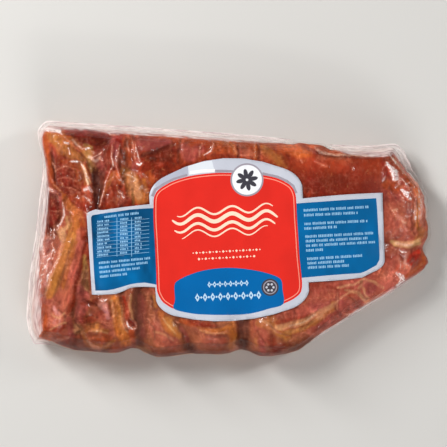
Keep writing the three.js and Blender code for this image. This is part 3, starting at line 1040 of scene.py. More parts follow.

# Some strokes are painted light: the rose ones and the thin cream ones are painted highlights, and the
# darkest and the dull brown ones are painted shade in creases, grooves and along the lower edge.
# small veins and rims of fat and lean, with thin painted highlights and painted shade in fine creases
PAINT = Stroke.table("""
# the top left corner
GOLD .9 -114,66,3 -104,60,6 -98,53,5
RUST .9 -115,62,3 -112.5,50 -110,40,2.5 -107,32,1.6
SAND .8 -108,62,2.5 -101,57,3 -96,51,2.5 -88,50
WINE .85 -98,66,3 -84,62,6 -70,60,5
DUSK .8 -93,60,3 -80,57,4 -72,58
PLUM .75 -96,68,2 -82,66,2.6 -72,61,2.4
SAND .7 -97,62,1.6 -91,57,1.8 -88,52,2
WINE .7 -109,57,2 -107,51,1.6
# the first lean lobe
LEAN 1 -102,47,5 -98,38,8.5 -95,29,8 -91,23,6 -85,18.5,3.4
RUST .65 -100,47,2.4 -94,43,3 -92,36,2.6
WINE .5 -103,39,3 -101,33,2.4
RUST .5 -96,26,2 -90,25
DEEP .6 -108.5,52,.6 -108,44,.7 -107.5,36,.6
TAN .85 -89.5,45,.8 -87,40,1.2 -85.5,34
# the dark valley beside it
MOSS .75 -86,53,3.2 -84,47,3 -83,42,2
PLUM .8 -79,50,4.5 -77,44,4
DEEP .9 -82,43,1.6 -81,36,2.4 -80.5,28,2.6 -80,20,2.2
BARK .75 -78.5,40,2.4 -78,32,2.2
DUSK .7 -75,52,2.6 -74,44
# the second fold, pointed at its top
PLUM .8 -69,58,2.4 -69.5,51,1.6 -69.5,45,1.4
GOLD .9 -70,40,2 -73,33 -76,26,1.4
RUST .8 -69,41,1.6 -68,36,3.4
LEAN 1 -70,34,2 -70.5,29,4.6 -72,22,6.2 -73,19,6.4
PINK .6 -66,27,2.4 -65,22,3
LEAN .7 -62,21,2.4 -57,21.5,1.6
# the tan knob and the meat beside it
RUST .75 -62,63,3 -60,54,4 -62,47
SOOT .6 -66,52,2.4 -65,46,3 -63,42,2.6
PLUM .75 -57,46,2.6 -58.5,43.5,2
SAND .85 -64,42,2.4 -60,37,4.4 -57,30,5.2 -53,25,4
TAN .5 -59,36,2.4 -57,31,2.8 -55,26,1.8
MOSS .6 -58.5,28,.8 -58,22,.9
GOLD .8 -51.5,36,1.4 -51,28,1.8 -51,24,1.6
RUST .7 -48,39,3 -47,34,2
RUST .7 -64,65.5,1.6 -44,63.5,2.2 -12,61.5,1.8 26,57.5,2
PLUM .9 -52,58,3.6 -44,58,4.2 -37,58,2.6
DUSK .95 -52,51,1.6 -44,51.5,2.6 -33,54.5,3
LEAN .9 -50,46,3 -42,45,3.6 -34,50,2.4
DUSK .75 -46,41,2 -38,43.5,1.6 -31,47
PLUM .75 -27,56,3.4 -23,51,4 -18,55,3.4
WINE .45 -15,57,2 -13,53
RUST .55 -7,55,3 -1,56,3.4 3,53,2.4
GOLD .5 -8,60,1.4 2,58,1.6 4,52,1
DUSK .6 -10,51,1 5,50.5
DUSK .7 5.5,58,.6 6.5,50,.9
PINK .8 9,57,3 11,53,3.4 13,51,2.4
GOLD .6 16.5,59,.7 16.5,50,.8
DUSK .5 18.5,58,.7 19,48,.9
SAND .45 22,55,3 30,50,4 35,46,3
LEAN .6 30,55,2.6 38,52,4 42,46
DUSK .4 32,52,.7 37,44,.9
# the smooth dark red end of the top
DUSK .65 47,34,4 56,31,5 68,38,7 60,44,5
WINE .35 50,35,3 58,30
SOOT .45 56,50,2 66,50 76,46
RUST .95 51.5,58,1.6 58,56.5,2.6 66,53.5,2.2 71,52.5,1
DEEP .6 56,53,.7 61,51,.8 70,50.6,.6
PINK .7 54,48,1.2 60,45,1.3
# the top right corner
WINE .7 96,45,2.6 97,40,2.4
RUST .8 98,33,3 104,32,2.6
LEAN .8 110,35,2 114,33,1.6
GOLD .75 116,31,1.8 118,25,1.6 117,16,1.2 116,8
RUST .7 113.5,26,.7 114.5,18
GOLD .7 119,5,2 122,3,1.6 117,0,2
# the right end
PLUM .5 104,24,3 108,12,5 104,4,4
TAN .9 102,-3,1 108,-3.4,1.8 114,-3.6,1.6 118,-1,1
LEAN .8 99,-10,2.6 105,-12,3 103,-17,2.4
WINE 1 112,-15,1.8 115.5,-11,2.6 118.5,-7,1.8
RUST .9 120.5,-9,1.2 121,-15,1.4 115,-20 110,-24,1
PINK .9 106,-14,2 107,-19
# the lower right, with a marbled golden band
LEAN .55 52,-31,4 64,-33,5 74,-34,4
PLUM .55 54,-41,4 72,-42 82,-38,3
SAND .75 64,-38,1.4 66,-42,2 58,-47,3 46,-53,4 34,-57
TAN .6 80,-31,.9 84,-26,1.3 90,-27,1 95,-30,.9
TAN .55 72,-32,.7 80,-34,1 86,-40
SAND .6 26,-50,3 30,-56,3.4 36,-60,3
LEAN .6 30,-52,1.6 40,-50,2 48,-48,1.6
TAN .45 30,-55,.8 38,-58,.9 48,-54,.8 58,-48
PINK .7 50,-57,2 62,-52 76,-44,1.6
# the left side: pocket, tongue and ridge
DUSK .95 -109,27,3.4 -107.5,18,4.6 -109,8,3.8 -110,0,2.2
PLUM .85 -110,28,2 -106,26.5,3 -103.5,20,1.6
GOLD .9 -101,26,1.8 -98,20,2.6 -93,15,3.4 -92,8,3.6
TAN .75 -104,5,2.6 -101,0
GOLD .8 -98,8,2.4 -95,2,3.4 -98,-6
ROSE .8 -111,0,2 -112,-10,3 -111,-20,2.8 -112,-28,2
CORAL .7 -106,-8,2.4 -108,-18
WINE .8 -109.5,-1,1 -111,-6,1.4 -113,-11,.9
LEAN .7 -108,-11,.7 -111.5,-16,.8 -112,-26,1
CORAL .9 -90,4,3 -93,-10,3.6 -97,-24,4 -101,-38,4.6 -104,-50,7 -108,-59
SAND 1 -97,0,2.2 -101,-12,2.6 -106,-25,3.2 -110,-35,2.4
LEAN .7 -88,2,2 -90,-10 -93,-22,1.8 -96,-36,2 -98,-46,1.6
RUST .9 -113,-42,2 -114,-52,2.4 -114,-60
ROSE .55 -107,-42,.8 -104.5,-47,1 -108,-52,.8 -103,-54
LEAN .6 -112,-56,1.6 -106,-56,2 -101,-54,1.4
RUST .6 -112,-62,1.6 -103,-61,2
# between the ridge and the label
MOSS .8 -88.5,-12,1.8 -88,-22,2.4 -87,-30,2
PLUM .85 -91,-31,2.6 -88,-36,3.2 -91,-44,3.6
DUSK .75 -89,-39,1.4 -84,-40.5,2.4 -80,-38,1.6
RUST .45 -84,-41,1.4 -81,-43,1
DEEP .6 -94,-28,.7 -95,-38,.9 -96,-48,1.2
LEAN .6 -90,-50,2 -84,-50,2.6 -78,-46,2
TAN .5 -93,-54,2.2 -89,-58,1.8 -95,-57,1.4
DEEP .5 -94,-52,.8 -91,-56,.7 -95,-60
SAND .7 -86,-54,2.4 -80,-55,3
SAND .8 -88,-62,1.6 -84,-65,1.8 -78,-67,1.6
RUST .55 -82,-61,2 -74,-61,3
SOOT .7 -97,-66,2 -90,-68,1.6
CORAL .75 -75,-42,2.2 -74,-50,3 -72,-57
ROSE .75 -78,-38,1.2 -75.5,-41,1.8 -75,-46,1.4
GOLD 1 -69.5,-37,2.4 -69,-47,3 -66.5,-56,3.6 -63,-64,3
SAND .6 -68,-38,1 -67.6,-48,1.2 -65,-58,1.4
TAN .4 -71,-38,.7 -70.5,-48,.8
LEAN .95 -64.5,-36,1 -63,-43,1.4 -62,-50,1.6
RUST .7 -66,-38,.6 -65,-48,.7
WINE .8 -60,-52,1.6 -58.5,-53.5,1.4
RUST .8 -60,-58,2 -58,-63,1.8
# the lobes along the bottom
BARK .95 -56,-34,3 -55.5,-44,3.6 -55,-54,3.2 -55,-64,2.6
PLUM .5 -52,-38,2 -50,-48,2.4 -52,-58,3
TAN .65 -60.3,-35,.6 -60.5,-42,.7 -58.5,-49
SOOT .7 -48,-36,2.4 -46,-48,4 -46,-62,5
SAND .7 -46,-35,.9 -45,-42,1
DEEP .5 -47.5,-36,.6 -46.5,-44,.7
GOLD .75 -42,-46,2 -38,-52,3.2 -34,-58,3 -30,-60,1.8
CORAL .6 -40,-62,3.4 -34,-66
MOSS .6 -56,-68,1.6 -48,-70
DEEP .6 -33,-50,.5 -28,-57,.8 -24,-64,1.5 -22.5,-70,1.8
LEAN .75 -23,-51,1.6 -17,-53,2 -12,-52.5,1.2
GOLD .8 -15,-55,.9 -10,-57.5,1.4 0,-57,2 3.5,-61,2.6
CORAL .5 -16,-62,4 -6,-64
SAND .6 2.5,-52,1.8 4,-62 2,-67
LEAN .45 -6,-60,1.4 -2,-64
BARK 1 9.6,-46,3 9.6,-56,3.3 9.4,-66,3 9,-70,2.4
SAND .5 14,-50,.8 16,-58,1.6 18,-64,2
PINK .6 19,-56,3 22,-62,3.6
DUSK .55 27,-62,2.6 28,-67,2.4 38,-66,2
BARK .7 -50,-73,2 -20,-72,1.8 5,-72,1.6 40,-70,2.4 52,-63,1.4
# crisper touches on the top left corner
CORAL .6 -115,61,.7 -113,50,.8 -111,41,.7
DUSK .8 -97,64,.7 -92,59.5,.8 -88.5,56,.6
DUSK .9 -90,59.5,2 -84,60.5,2.6 -76,59
MOSS .8 -88,57.5,1.2 -84,56
DEEP .5 -109.4,56,.5 -108.6,46,.6 -107.4,38 -104.5,31.5,.5
GOLD .7 -108,33,.8 -104.5,29.5 -102,28
FAT .5 -86,50,.8 -82,48,.7 -79,51,.8
GOLD .65 -92.5,46.5,.8 -89.8,40 -87.8,33,.7
DEEP .7 -88.8,43,.5 -86.4,37,.6 -84.6,32,.5
DEEP .6 -99,58.6,.4 -97.4,54,.5 -97,50,.4
# on the left side
ROSE .5 -111,30,1.4 -107.5,28.6,1.2
WINE .7 -109.5,22,2.4 -108,14,2.6 -109,9,1.6
DUSK .8 -105.4,22,1.2 -104,17 -105,12,1
PINK .7 -103,17,.8 -102.4,10,.9 -106,6
TAN .7 -100,14,1 -99,8 -103,4,1.6
MOSS .5 -98,18,.5 -97,10,.6 -98.5,2
LEAN .7 -91,12,1 -89.4,4,1.4 -88.4,-3,1.6
GOLD .7 -93,-2,1 -97,-12 -100,-22,1.2 -102,-30,1
PINK .9 -90,-2,1.6 -92.6,-14,2 -95.4,-26 -98,-38,2.2
SAND 1 -96,2,3 -99.6,-8 -103,-17,3.2 -106.6,-26,3.4 -110,-33,3.2
BARK .5 -98,-8,.7 -101,-18,.8 -104.4,-28 -108,-36,.7
TAN .6 -101.4,-1,.5 -104.6,-12 -109.4,-25 -113.4,-34
LEAN .7 -88.6,-6,.8 -91,-18,1 -94.4,-30 -96,-42
CORAL .6 -112,-44,2.4 -106,-48,3 -108,-58,2.4
RUST .7 -114,-50,1.4 -113.6,-60,1.8
LEAN .6 -111,-55,1 -104,-57,1.4 -100,-54,1
ROSE .4 -107,-43,.6 -103,-47,.7 -104,-52,.6
PLUM .6 -98,-50,1.6 -97,-60,2.2
# between the ridge and the label
BARK .5 -88,-22,2.6 -88,-30
PLUM .7 -92,-34,2.4 -91,-42,3 -92,-50,2.4
DUSK .8 -91,-40,1 -85,-39.5,1.6 -80,-40,1.4
PINK .6 -82,-46,3 -75,-50 -78,-56,2
ROSE .5 -79,-41,1 -76,-44,1.4 -74,-49,1.2
RUST .6 -84,-62,2.4 -76,-63,2.6
LEAN .5 -83,-63,1.4 -77,-64
SAND .85 -89,-60,1 -87.6,-64.6,1.2 -82,-67.6,1.4 -75,-67,1.2 -70,-63,1
SAND .7 -88,-57,1 -81,-55.4,1.2 -74,-57
DEEP .5 -91.6,-58,.6 -90,-64 -86,-68.6,.8
# along the bottom
PLUM .45 -54,-36,2 -54,-48
PINK .6 -46,-54,3.4 -42,-62,4 -32,-66,3
SAND .6 -37,-50,2.4 -33,-56,2.6 -30,-61,1.6
TAN .35 -46,-57,.8 -40,-59 -34,-63
RUST .7 -29,-50.5,1.4 -24,-52.6 -20,-54,1
LEAN .7 -22,-52,1.2 -14,-53.6 -8,-54,.8
GOLD .8 -18,-54.6,.9 -12,-57.6,1.4 -4,-57 2,-54
PINK .5 -14,-62,3 -6,-65
GOLD .7 2,-52,1.4 3.4,-58,1.6 1.6,-65
DEEP .6 5.6,-52,.7 6.2,-60,.8 4.6,-67
PINK .6 15,-52,1.6 15.6,-60,1.8
SAND .55 20,-52,3 26,-54
TAN .4 19,-50,.8 25,-53,.9 29,-58,.8
DUSK .7 26,-62,2.6 29,-68,2.4 34,-66,2
PLUM .6 20,-64,2.4 22,-69,1.6
# the lower right
TAN .55 30,-55,1.8 40,-53,2.2 52,-49 60,-44,2 66,-40,1.4
SAND .6 34,-59,2 44,-56 54,-51,1.6
LEAN .5 30,-58,.5 38,-55.5 46,-54 54,-48.6
LEAN .5 36,-61,.5 44,-58 52,-53.6
PINK .7 54,-36,4 62,-35 70,-36,3
PLUM .5 66,-41,1.6 68,-47
TAN .6 68,-30,.7 78,-28,.8 84,-25
TAN .55 82,-27,.7 84,-34 88,-40,.8
TAN .5 76,-33,.6 70,-36 66,-40,.7
PLUM .8 84,-28,2.4 89,-30,2.6 86,-34,1.6
PINK .7 94,-28,2 97,-22 92,-34,1.4
ROSE .6 78,-46,1 86,-42,.8 94,-36,.7 102,-30,.6
FAT .7 76,-49.4,.5 88,-42.4 98,-35 106,-29
# the right end
PINK .7 99,24,3 100,12,3.4 100,0,3
CORAL .55 106,20,3 109,10,3.4 107,2,2.6
ROSE .35 104,14,1 108,11 110,5,.8
TAN 1 101,-1.6,1 106,-3,1.6 112,-3.4,1.8 118,-2.4,1.2
FAT .5 103,-2.4,.6 109,-3.4,.8 114,-3.6,.6
PINK .8 98,-8,2.4 104,-12,2.6 100,-18,2.4
RED 1 112,-15.6,1.6 114.6,-11.6,2.4 117.6,-8,1.6
WINE .6 113,-15,.7 116,-11,.9
RUST .9 119.6,-7,1 121.4,-11,1.2 120.6,-15.6,1.3 114,-20.6,1.2
ROSE .6 109.5,-8,.8 109.4,-16
# the right margin's folds
RUST .8 110,41,1.4 114,36,1.6 118,30,1.4
DUSK .7 112.6,34,.8 114.6,28 114.4,20,.7 113.4,10
GOLD .7 116.6,31,1 118.2,24 117.4,15 116.6,6
DUSK .6 121.4,26,.5 121.8,18 121.6,8
RUST .8 122.4,22,.6 123,12,.7 123,4,1
FAT .6 110.6,44,.6 115,38.6 119.6,31.6,.5
ROSE .5 118.6,25,.4 119.4,19,.5 118.8,12,.4
# the top right
LEAN .8 46,44,5 60,44 80,44 92,42,4
DUSK .5 52,32,4 66,33 82,31,3
RUST .5 44,52,3 50,53,2.4
RUST 1 50,58.6,1.4 57,57.6,2.2 63,55.4 70,52.8,1.4
GOLD .8 50,59.4,.7 59,58.6,.8 66,56,.7
FAT .5 44,60,.4 52,59.2,.5 60,58.6,.4 67,55.8
DEEP .6 55,54.4,.5 59,52.2,.6 66,50.8,.5 72,50.8,.4
FAT .5 54,56,.35 59,52.8,.4 66,51.6 72,51.9 82,51.6,.35 91,51.6
LEAN .9 100,50,1.4 103,46,1.6 106,41,1.4
RUST 1 102,49.6,1.2 107,43,1.5 112,36,1.6 117,30,1.4
ROSE .8 102.4,52,.8 107.4,45.6,.9 112.6,38.4 117.6,32,.8
FAT .6 101,50,.5 104,47 108.6,41
# the top edge
RUST .8 -64,66,1.2 -50,65.2,1.6 -36,63.6,1.8 -10,62,1.6 12,60 34,57.6,1.8 46,55.6,1.6
PLUM .85 -54,60,2.6 -46,59.4,3 -38,59.4,2
DUSK .9 -52,52,1.4 -44,53.4,2 -34,57
DEEP .5 -50,49,1.2 -40,48,1.6 -33,51,1.4
LEAN .7 -47,46,1.6 -38,45.4,1.8 -32,49,1.4
PINK .5 -28,57,1.2 -27.4,50
DEEP .5 -35,61,.5 -34.6,54
DEEP .5 -30,61,.5 -30,50,.6
GOLD .7 -3,60,.7 2.6,57.6,.9 4.8,52,.8
CORAL .8 8.6,57,2 11,54,2.4 14,52.4,1.6
DUSK .7 5.8,58,.5 6.6,51,.7
SAND .5 22,56,1.6 27,52,2 31,47
RUST .5 32,55,2 40,53,2.4
LEAN .5 36,48,2.4 42,44,3
# small veins and rims of fat and lean
SAND .7 -107,60,3 -101,55 -96,51,2
BARK .4 -106,57,1 -102,53
DUSK .7 -100,45,.5 -96,42,.6 -94,37,.5
DUSK .6 -104,43,.5 -102,38,.6 -103,33,.5
DEEP .5 -98,34,.4 -94,31,.5 -90,30,.4
GOLD .6 -97,46,.5 -93,40 -91,33
GOLD .5 -103,48,.5 -99,49 -96,46.6
FAT .5 -91,47,.5 -89,42,.6 -87,37,.5 -86,33
FAT .45 -96,61,.6 -94,58 -91,56
DEEP .6 -94,55,.4 -91,52,.5 -88,49 -85.6,45,.6
DEEP .5 -72,33,.5 -70,28,.6 -71,22,.5
GOLD .5 -68,32,.4 -67,26,.5 -69,21,.4
FAT .4 -63,40,.4 -60,38.4,.5 -57,36,.4
DUSK .5 -60,58,.5 -58,52,.6 -59,47,.5
FAT .35 -62,60,.4 -60.4,54
BARK .6 -88,-16,.5 -87,-22,.6 -88.4,-28,.5
TAN .4 -88,-31,.5 -84.6,-33
BARK .6 -104,-44,.5 -100,-48,.6 -101,-53,.5
TAN .6 -109,-46,.5 -104,-49,.6 -101,-46,.5
TAN .5 -110,-56,.5 -105,-53,.6 -100,-52,.5
DEEP .5 -90,-48,.5 -84,-47.4 -80,-49
DEEP .5 -87,-53,.4 -80,-52,.5 -74,-54,.4
DEEP .45 -84,-60,.5 -79,-59 -75,-61
TAN .5 -84,-57,.5 -78,-57,.6 -74,-58.6,.5
FAT .4 -87,-63,.4 -83,-66.6,.5 -78,-68,.4
TAN .45 -66,-41,.4 -65.6,-50,.5 -62,-58
BARK .6 -50,-50,.5 -46,-55,.6 -45,-62,.5
BARK .5 -42,-55,.5 -38,-59,.6 -36,-64,.5
TAN .45 -40,-49,.5 -36,-54,.6 -32,-59,.5
PLUM .7 -29,-55,1 -25.6,-59,1.2 -24.6,-64,1
BARK .6 -14,-59,.5 -8,-61,.6 -2,-60.4,.5
TAN .45 -17,-56,.5 -10,-59 -3,-58.6
BARK .5 -10,-65,.5 -4,-66 1,-64
DEEP .5 18,-56,.5 20,-61,.6 24,-65,.5
BARK .6 25,-54,.5 31,-58.4,.6 38,-60,.5
BARK .5 44,-49,.5 50,-48,.6 56,-44,.5
FAT .3 38,-54,.5 46,-51.4 54,-47
PLUM .6 60,-39,.6 66,-37,.8 70,-39,.6
BARK .5 72,-36,.5 78,-38,.6 80,-42,.5
FAT .3 101,17,.6 103.6,17.6,.8
FAT .3 107,11,.5 110,10,.6
RUST .5 100,30,1 104,29,1.2
GOLD .8 117.6,30,.7 118.6,22 117.6,12
DEEP .5 115.8,28,.5 116.2,18 115.2,8
""")

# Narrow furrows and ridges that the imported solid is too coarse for: height, and the route.
CARVING = Stroke.table("""
-1 -109,53,1 -108,44,1.2 -107,34,1
-2 -100,25,1.2 -103,14,1.4 -108,6,1.6
-1.6 -83,44,2.4 -81,34,3 -80,20
1.4 -88,45,1.2 -85.5,34,1.4 -84,24,1.2
1.6 -71.5,58,1 -72,50,1.2 -74,38 -78.5,21,1
1.6 -67,57,1 -69,48,1.2 -66,38 -63,28,1
1.6 -61,38,2.4 -57,30,3
-1.6 -64,40,1 -65,32
-1.6 -58.5,30,.8 -58,21,.9
-1.8 -62,62,1 -63,50,1.2
-1.6 -54,51,1.4 -44,53.5,1.2 -34,58,1
-1.2 -30,62,.9 -30,48,1.2
-1.2 6,60,.9 6.5,50,1
-1 18,59,.9 19,49,1
1.6 52,57.5,1.6 60,56,2.2 69,53,1.4
-1.6 55,53.6,.9 62,51,1 72,50,.9
.9 54,48,1 61,44.6,1.1
-.8 97,50,1 99,42,1.6 97,36,1.4
1.6 99,46,1.2 102.5,39,1.8 103,36,1.2
-.6 104,47,1 109,38,1.2
1.2 109,31,1.6 111,25,1.4
-1.2 114,30,1 115.5,18 114,6
1 117.5,30,1 118.5,18 118,8
-1.2 103,12,1.2 107,2,1.4
1.4 103,-3,1.2 110,-4,1.6 117,-1,1.4
-1.3 112,-15,1.6 115.5,-11,2.2 118,-7,1.6
1.2 120.5,-8,1.2 121.5,-14
-1.4 82,-27,1 81,-34,1.2 86,-38,1
-1.2 68,-32,1 67,-44,1.2 70,-50,1
1.2 -98,-2,1.6 -102,-14,2 -107,-28,2.2 -110,-36,1.6
-.8 -104.5,-2,.8 -107.6,-12 -112,-28 -115,-38
-1.2 -88,-4,1.1 -90.5,-16,1.3 -94,-30,1.4 -96,-46,1.5
-1.6 -89,-38,1 -82,-41,1.4
-1.4 -94,-50,1 -90,-56 -96,-60
-.5 -72,-38,.9 -72,-48,1 -70,-56
-1.8 -65.8,-37,.8 -64.5,-48,1 -62,-56
1.4 -61,-36,.9 -61,-46,1 -57.5,-51 -58,-56
-2.2 -60.5,-51,1.2 -59,-53.5
-.9 -47.5,-36,.9 -45.4,-44,1
-1.3 -32,-50,1.6 -27,-58,2 -23,-68
-.9 -20,-54,1 -8,-55 2,-53,.9
-1.2 26,-48,1 28,-58,1.2 26,-68,1.4
""")

# Where the meat's surface is smooth.
CALM = Stroke.table("""
.85 48,42,9 66,38,12 88,38,11
.7 -46,58,5 -38,58
.6 -104,-6,4 -109,-30
.7 102,16,8 106,4 100,-10,6
.75 9.5,-50,4 9.5,-68
.7 -56,-38,4 -56,-60
.55 52,-34,6 66,-38,7 84,-32,6 94,-28,5
.45 -42,-58,8 -10,-60,7 28,-58,9
.4 -110,-48,6 -106,-58,7
.4 -24,55,5
.5 30,50,7
""")

# Broad light and shade on the meat: how much lighter or, below zero, darker, and the route.
TONE = Stroke.table("""
-.22 -110,25,4 -110,12,4.5 -110,-4,4
-.18 -102,48,6 -101,34
-.16 -102,23,5 -102,13,4
-.13 -94,45,5 -94,31
.14 -86,45,4 -86,22,3.5
.14 -93,12,3.5 -92,-4
-.24 -95,64,4 -85,63 -77,62
-.12 -79,46,4 -78,30
-.28 -78,25,3 -78,18
-.18 -70,58,4 -70,45
.12 -70,40,3 -69,36
-.16 -56,61,5 -52,54 -37,50,6
.16 -54,39,4 -46,38
.27 36,56,4.5 49,54,5
.24 45,48,5 58,47 68,46
.14 76,46,6 100,46
-.12 89,31,5 99,28,4
.27 97,-28,4 107,-20
.28 112,42,3.5 118,27,4 120,8
.14 121,0,3 121,-14,3.4
.2 -70,-36,3
.16 -94,-32,4 -94,-45
-.16 -78,-34,4 -78,-45
-.3 -88,-48,4 -87,-60,4.5
-.38 -106,-65.5,3.5 -95,-66.5,4 -86,-68 -76,-70
-.18 -62,-69,3 -45,-71 -24,-70 0,-71 25,-72 42,-68 52,-63,2.4
-.24 -24,-67,4
-.4 10,-66,3.5
.13 84,-36,3 93,-33
.14 -38,-50,4 -31,-59
.13 -7,-51,4 3,-54
.1 50,-57,3.5
""")


@dataclass(frozen=True)
class PorkFinish:
    """Moist cured meat: painted fat and lean, with fibres and fine marbling."""

    roughness: float = 0.4
    marbling: Triple = linear(226, 150, 96)
    marbling_share: float = 0.2
    shade: Triple = linear(92, 26, 12)
    shade_share: float = 0.26

    def material(self) -> Material:
        """Builds the material.

        Returns:
            The finished material.
        """
        sheet = ShaderSheet("smoked_pork")
        place = sheet.place()
        # the meat's colours, painted highlights and painted shade included
        painted = sheet.attribute("tissue", "Color")
        drift = sheet.node("TexNoise", {}, {"Vector": place, "Scale": 120.0, "Detail": 2.0}, 1)
        swirl = sheet.node("VectorMath", {"operation": "MULTIPLY_ADD"}, {
            0: drift, 1: (0.006, 0.006, 0.006), 2: place})
        fibres = sheet.noise(sheet.stretched(swirl, (560.0, 230.0, 400.0)), 1.0, 5.0, 0.6)
        clots = sheet.noise(swirl, 620.0, 4.0, 0.62)
        veins = sheet.noise(swirl, 260.0, 4.0, 0.7)
        marbled = (veins.stepped(0.54, 0.68) * clots.stepped(0.4, 0.62) * self.marbling_share).clamped()
        colour = sheet.mixed(marbled, painted, self.marbling)
        # painted shade between the fibres, and painted highlights on their crests
        dark = ((1 - fibres.stepped(0.3, 0.52)) * self.shade_share).clamped()
        colour = sheet.mixed(dark, colour, self.shade)
        lift = sheet.mixed(1.0, colour, (1.3, 1.22, 1.15), "MULTIPLY")
        colour = sheet.mixed(fibres.stepped(0.5, 0.75) * 0.5, colour, lift)
        height = fibres * 0.55 + clots * 0.45
        principled = sheet.principled({
            "Base Color": colour,
            "Roughness": (clots * 0.2 + (self.roughness - 0.1)).clamped(),
            "Normal": sheet.bump(height, 0.6, 0.0006),
            "Specular IOR Level": 0.06,
        })
        return sheet.finish(principled)


@dataclass
class Pork:
    """The slab of smoked belly inside the film."""

    form: PackForm
    maker: ShellMaker
    finish: PorkFinish = PorkFinish()
    gap: float = 0.6  # between the form's surface and the meat
    tent: float = 0.12  # share of a wide sloping strip that the meat leaves empty
    carved: float = 0.75  # depth of a furrow of strength 1
    layers: int = 5  # of fat and lean that the sides show
    layered: float = 34.0  # height that they share
    seam_level: float = 11.0  # the top face's colours run down the sides towards it

    def __post_init__(self) -> None:
        """Carves the folds and lays the fibres along them."""
        furrows = StrokeBoard(0.5).heap(CARVING, 0.95, self.carved).values
        self.folds: Chart = Chart(self.form.top.values + furrows)
        self.rough: Array = 1 - StrokeBoard(2.0).heap(CALM, 0.5, adds=False).values
        self.strands: Array = self._drawn_out(1.3, 5.0, 71)
        self.threads: Array = self._drawn_out(0.5, 2.6, 72)

    def _drawn_out(self, width: float, length: float, seed: int) -> Array:
        """Random strands that follow the folds.

        Args:
            width: their width in millimetres.
            length: how far they reach to either side.
            seed: which pattern.

        Returns:
            Values round 0 with a spread of 1, one for each place of a chart.
        """
        x, y = Chart.places()
        down_y, down_x = np.gradient(self.folds.blurred(2.6).values, CHART_STEP)
        turn = 2 * (np.arctan2(down_y, down_x) + math.pi / 2)
        weight = np.minimum(np.hypot(down_x, down_y), 0.6)
        rest = 2 * (1.35 + 0.7 * hills(x, y, 24.0, seed + 1))
        sine, cosine = (Chart(weight * wave(turn) + 0.16 * wave(rest)).blurred(2.0).values
                        for wave in (np.sin, np.cos))
        angle = np.arctan2(sine, cosine) / 2 + 0.35 * hills(x, y, 3.0, seed + 2)
        loose = Chart(np.random.default_rng(seed).uniform(-1, 1, x.shape))
        loose = loose.blurred(width * 0.4) if width > CHART_STEP else loose
        reach = int(length / CHART_STEP)
        total = np.zeros_like(x)
        for step in range(-reach, reach + 1):
            ahead = step * CHART_STEP
            share = math.cos(0.5 * math.pi * step / (reach + 1))
            total += share * loose.at(x + ahead * np.cos(angle), y + ahead * np.sin(angle))
        return total / total.std()

    def heights(self) -> Chart:
        """Shapes the top face.

        Returns:
            Its heights, with its folds, furrows and fine unevenness.
        """
        x, y = Chart.places()
        grain = 0.3 * hills(x, y, 3.8, 5) + 0.16 * hills(x, y, 1.8, 6)
        grain += 0.1 * self.strands + 0.04 * self.threads
        return Chart(self.folds.values - self.gap + self.rough * grain)

    def painting(self) -> Chart:
        """Paints the top face.

        Returns:
            Its colours, with painted highlights and painted shade.
        """
        x, y = Chart.places()
        ground = StrokeBoard(2.4, np.broadcast_to(Tissue.LEAN.light, (*x.shape, 3))).paint(GROUND, 0.6)
        colours = StrokeBoard(0.65, ground.values).paint(PAINT, 0.36).values
        cloud = 1 + self.rough * (0.13 * hills(x, y, 5.0, 21) + 0.12 * hills(x, y, 2.1, 22))
        warmth = 0.08 * hills(x, y, 8.0, 23)
        colours *= cloud[..., None] * np.stack([np.ones_like(x), 1 + warmth, 1 - warmth], axis=-1)
        # strands painted lighter where they rise and darker where they sink: painted light and shade
        strand = (np.clip(0.6 * self.strands + 0.4 * self.threads, -2, 2) * self.rough)[..., None]
        colours *= 1 + 0.12 * np.clip(strand, 0, 2)
        colours *= np.exp(np.clip(-strand, 0, 2) * (-0.09, -0.13, -0.14))
        crossed = 0.45 + 0.55 * self.rough
        # painted highlights along fine folds that cross each other
        lines = folded(x + 7, y - 5, 8) * crossed * ramp(-0.4, 0.5, hills(x, y, 6.0, 24))
        colours += lines[..., None] * (0.65 * colours + 0.11 * np.array(Tissue.FAT.light))
        # painted shade in fine furrows
        furrows = folded(y + 11, x + 3, 6) * crossed
        colours *= np.exp(furrows[..., None] * (-0.34, -0.44, -0.44))
        colours *= self.relief()[..., None]
        tone = StrokeBoard(1.5).heap(TONE, 0.7, 2.2).values
        colours *= np.exp(tone[..., None] * (0.9, 1.25, 1.25))
        return Chart(np.clip(colours, 0, 1))

    def relief(self) -> Array:
        """Shades the top face by its relief.

        Returns:
            The share of its light that each place keeps: more on crests, and less in hollows.
        """
        heights = self.heights()
        share = self.form.edge_share.values
        inner = ramp(0.5, 3.5, self.form.edge.values * (1 - 1 / np.maximum(share, 0.01)))
        result = np.ones_like(share)
        for spread, full, lighter, darker, fold in (
                (1.5, 0.32, 0.22, 0.24, 0.3 + 0.7 * self.rough), (4.0, 1.3, 0.06, 0.14, 1)):
            rise = np.clip((heights.values - heights.blurred(spread).values) / full, -1, 1) * fold * inner
            result *= 1 + np.where(rise > 0, lighter, darker) * rise
        return result

    def side_colours(self, shell: Shell) -> Array:
        """The sides' layers of fat and lean, and the smoked underside.

        Args:
            shell: the skin.

        Returns:
            A colour for each of its corners.
        """
        (x, y, high), (a, b) = shell.corners.T, shell.around.T
        wave = 3.6 * hills(a, b, 38.0, 31) + 1.3 * hills(a + high, b - high, 9.0, 32)
        level = np.mod((high + wave) / self.layered * self.layers, 1)
        lean = ramp(0.36, 0.5, level) * (1 - ramp(0.84, 0.97, level))
        lean *= ramp(-0.9, 0.5, hills(a + 3 * high, b, 30.0, 33))
        fat, meat = np.array(linear(222, 166, 134)), np.array(linear(150, 54, 40))
        colours = fat + lean[:, None] * (meat - fat)
        rind = 1 - ramp(2.0, 5.0, high + 0.6 * wave)
        colours += rind[:, None] * (np.array(Tissue.SAND.light) - colours)
        return colours * (1 + 0.14 * hills(x, y, 4.0, 34))[:, None]

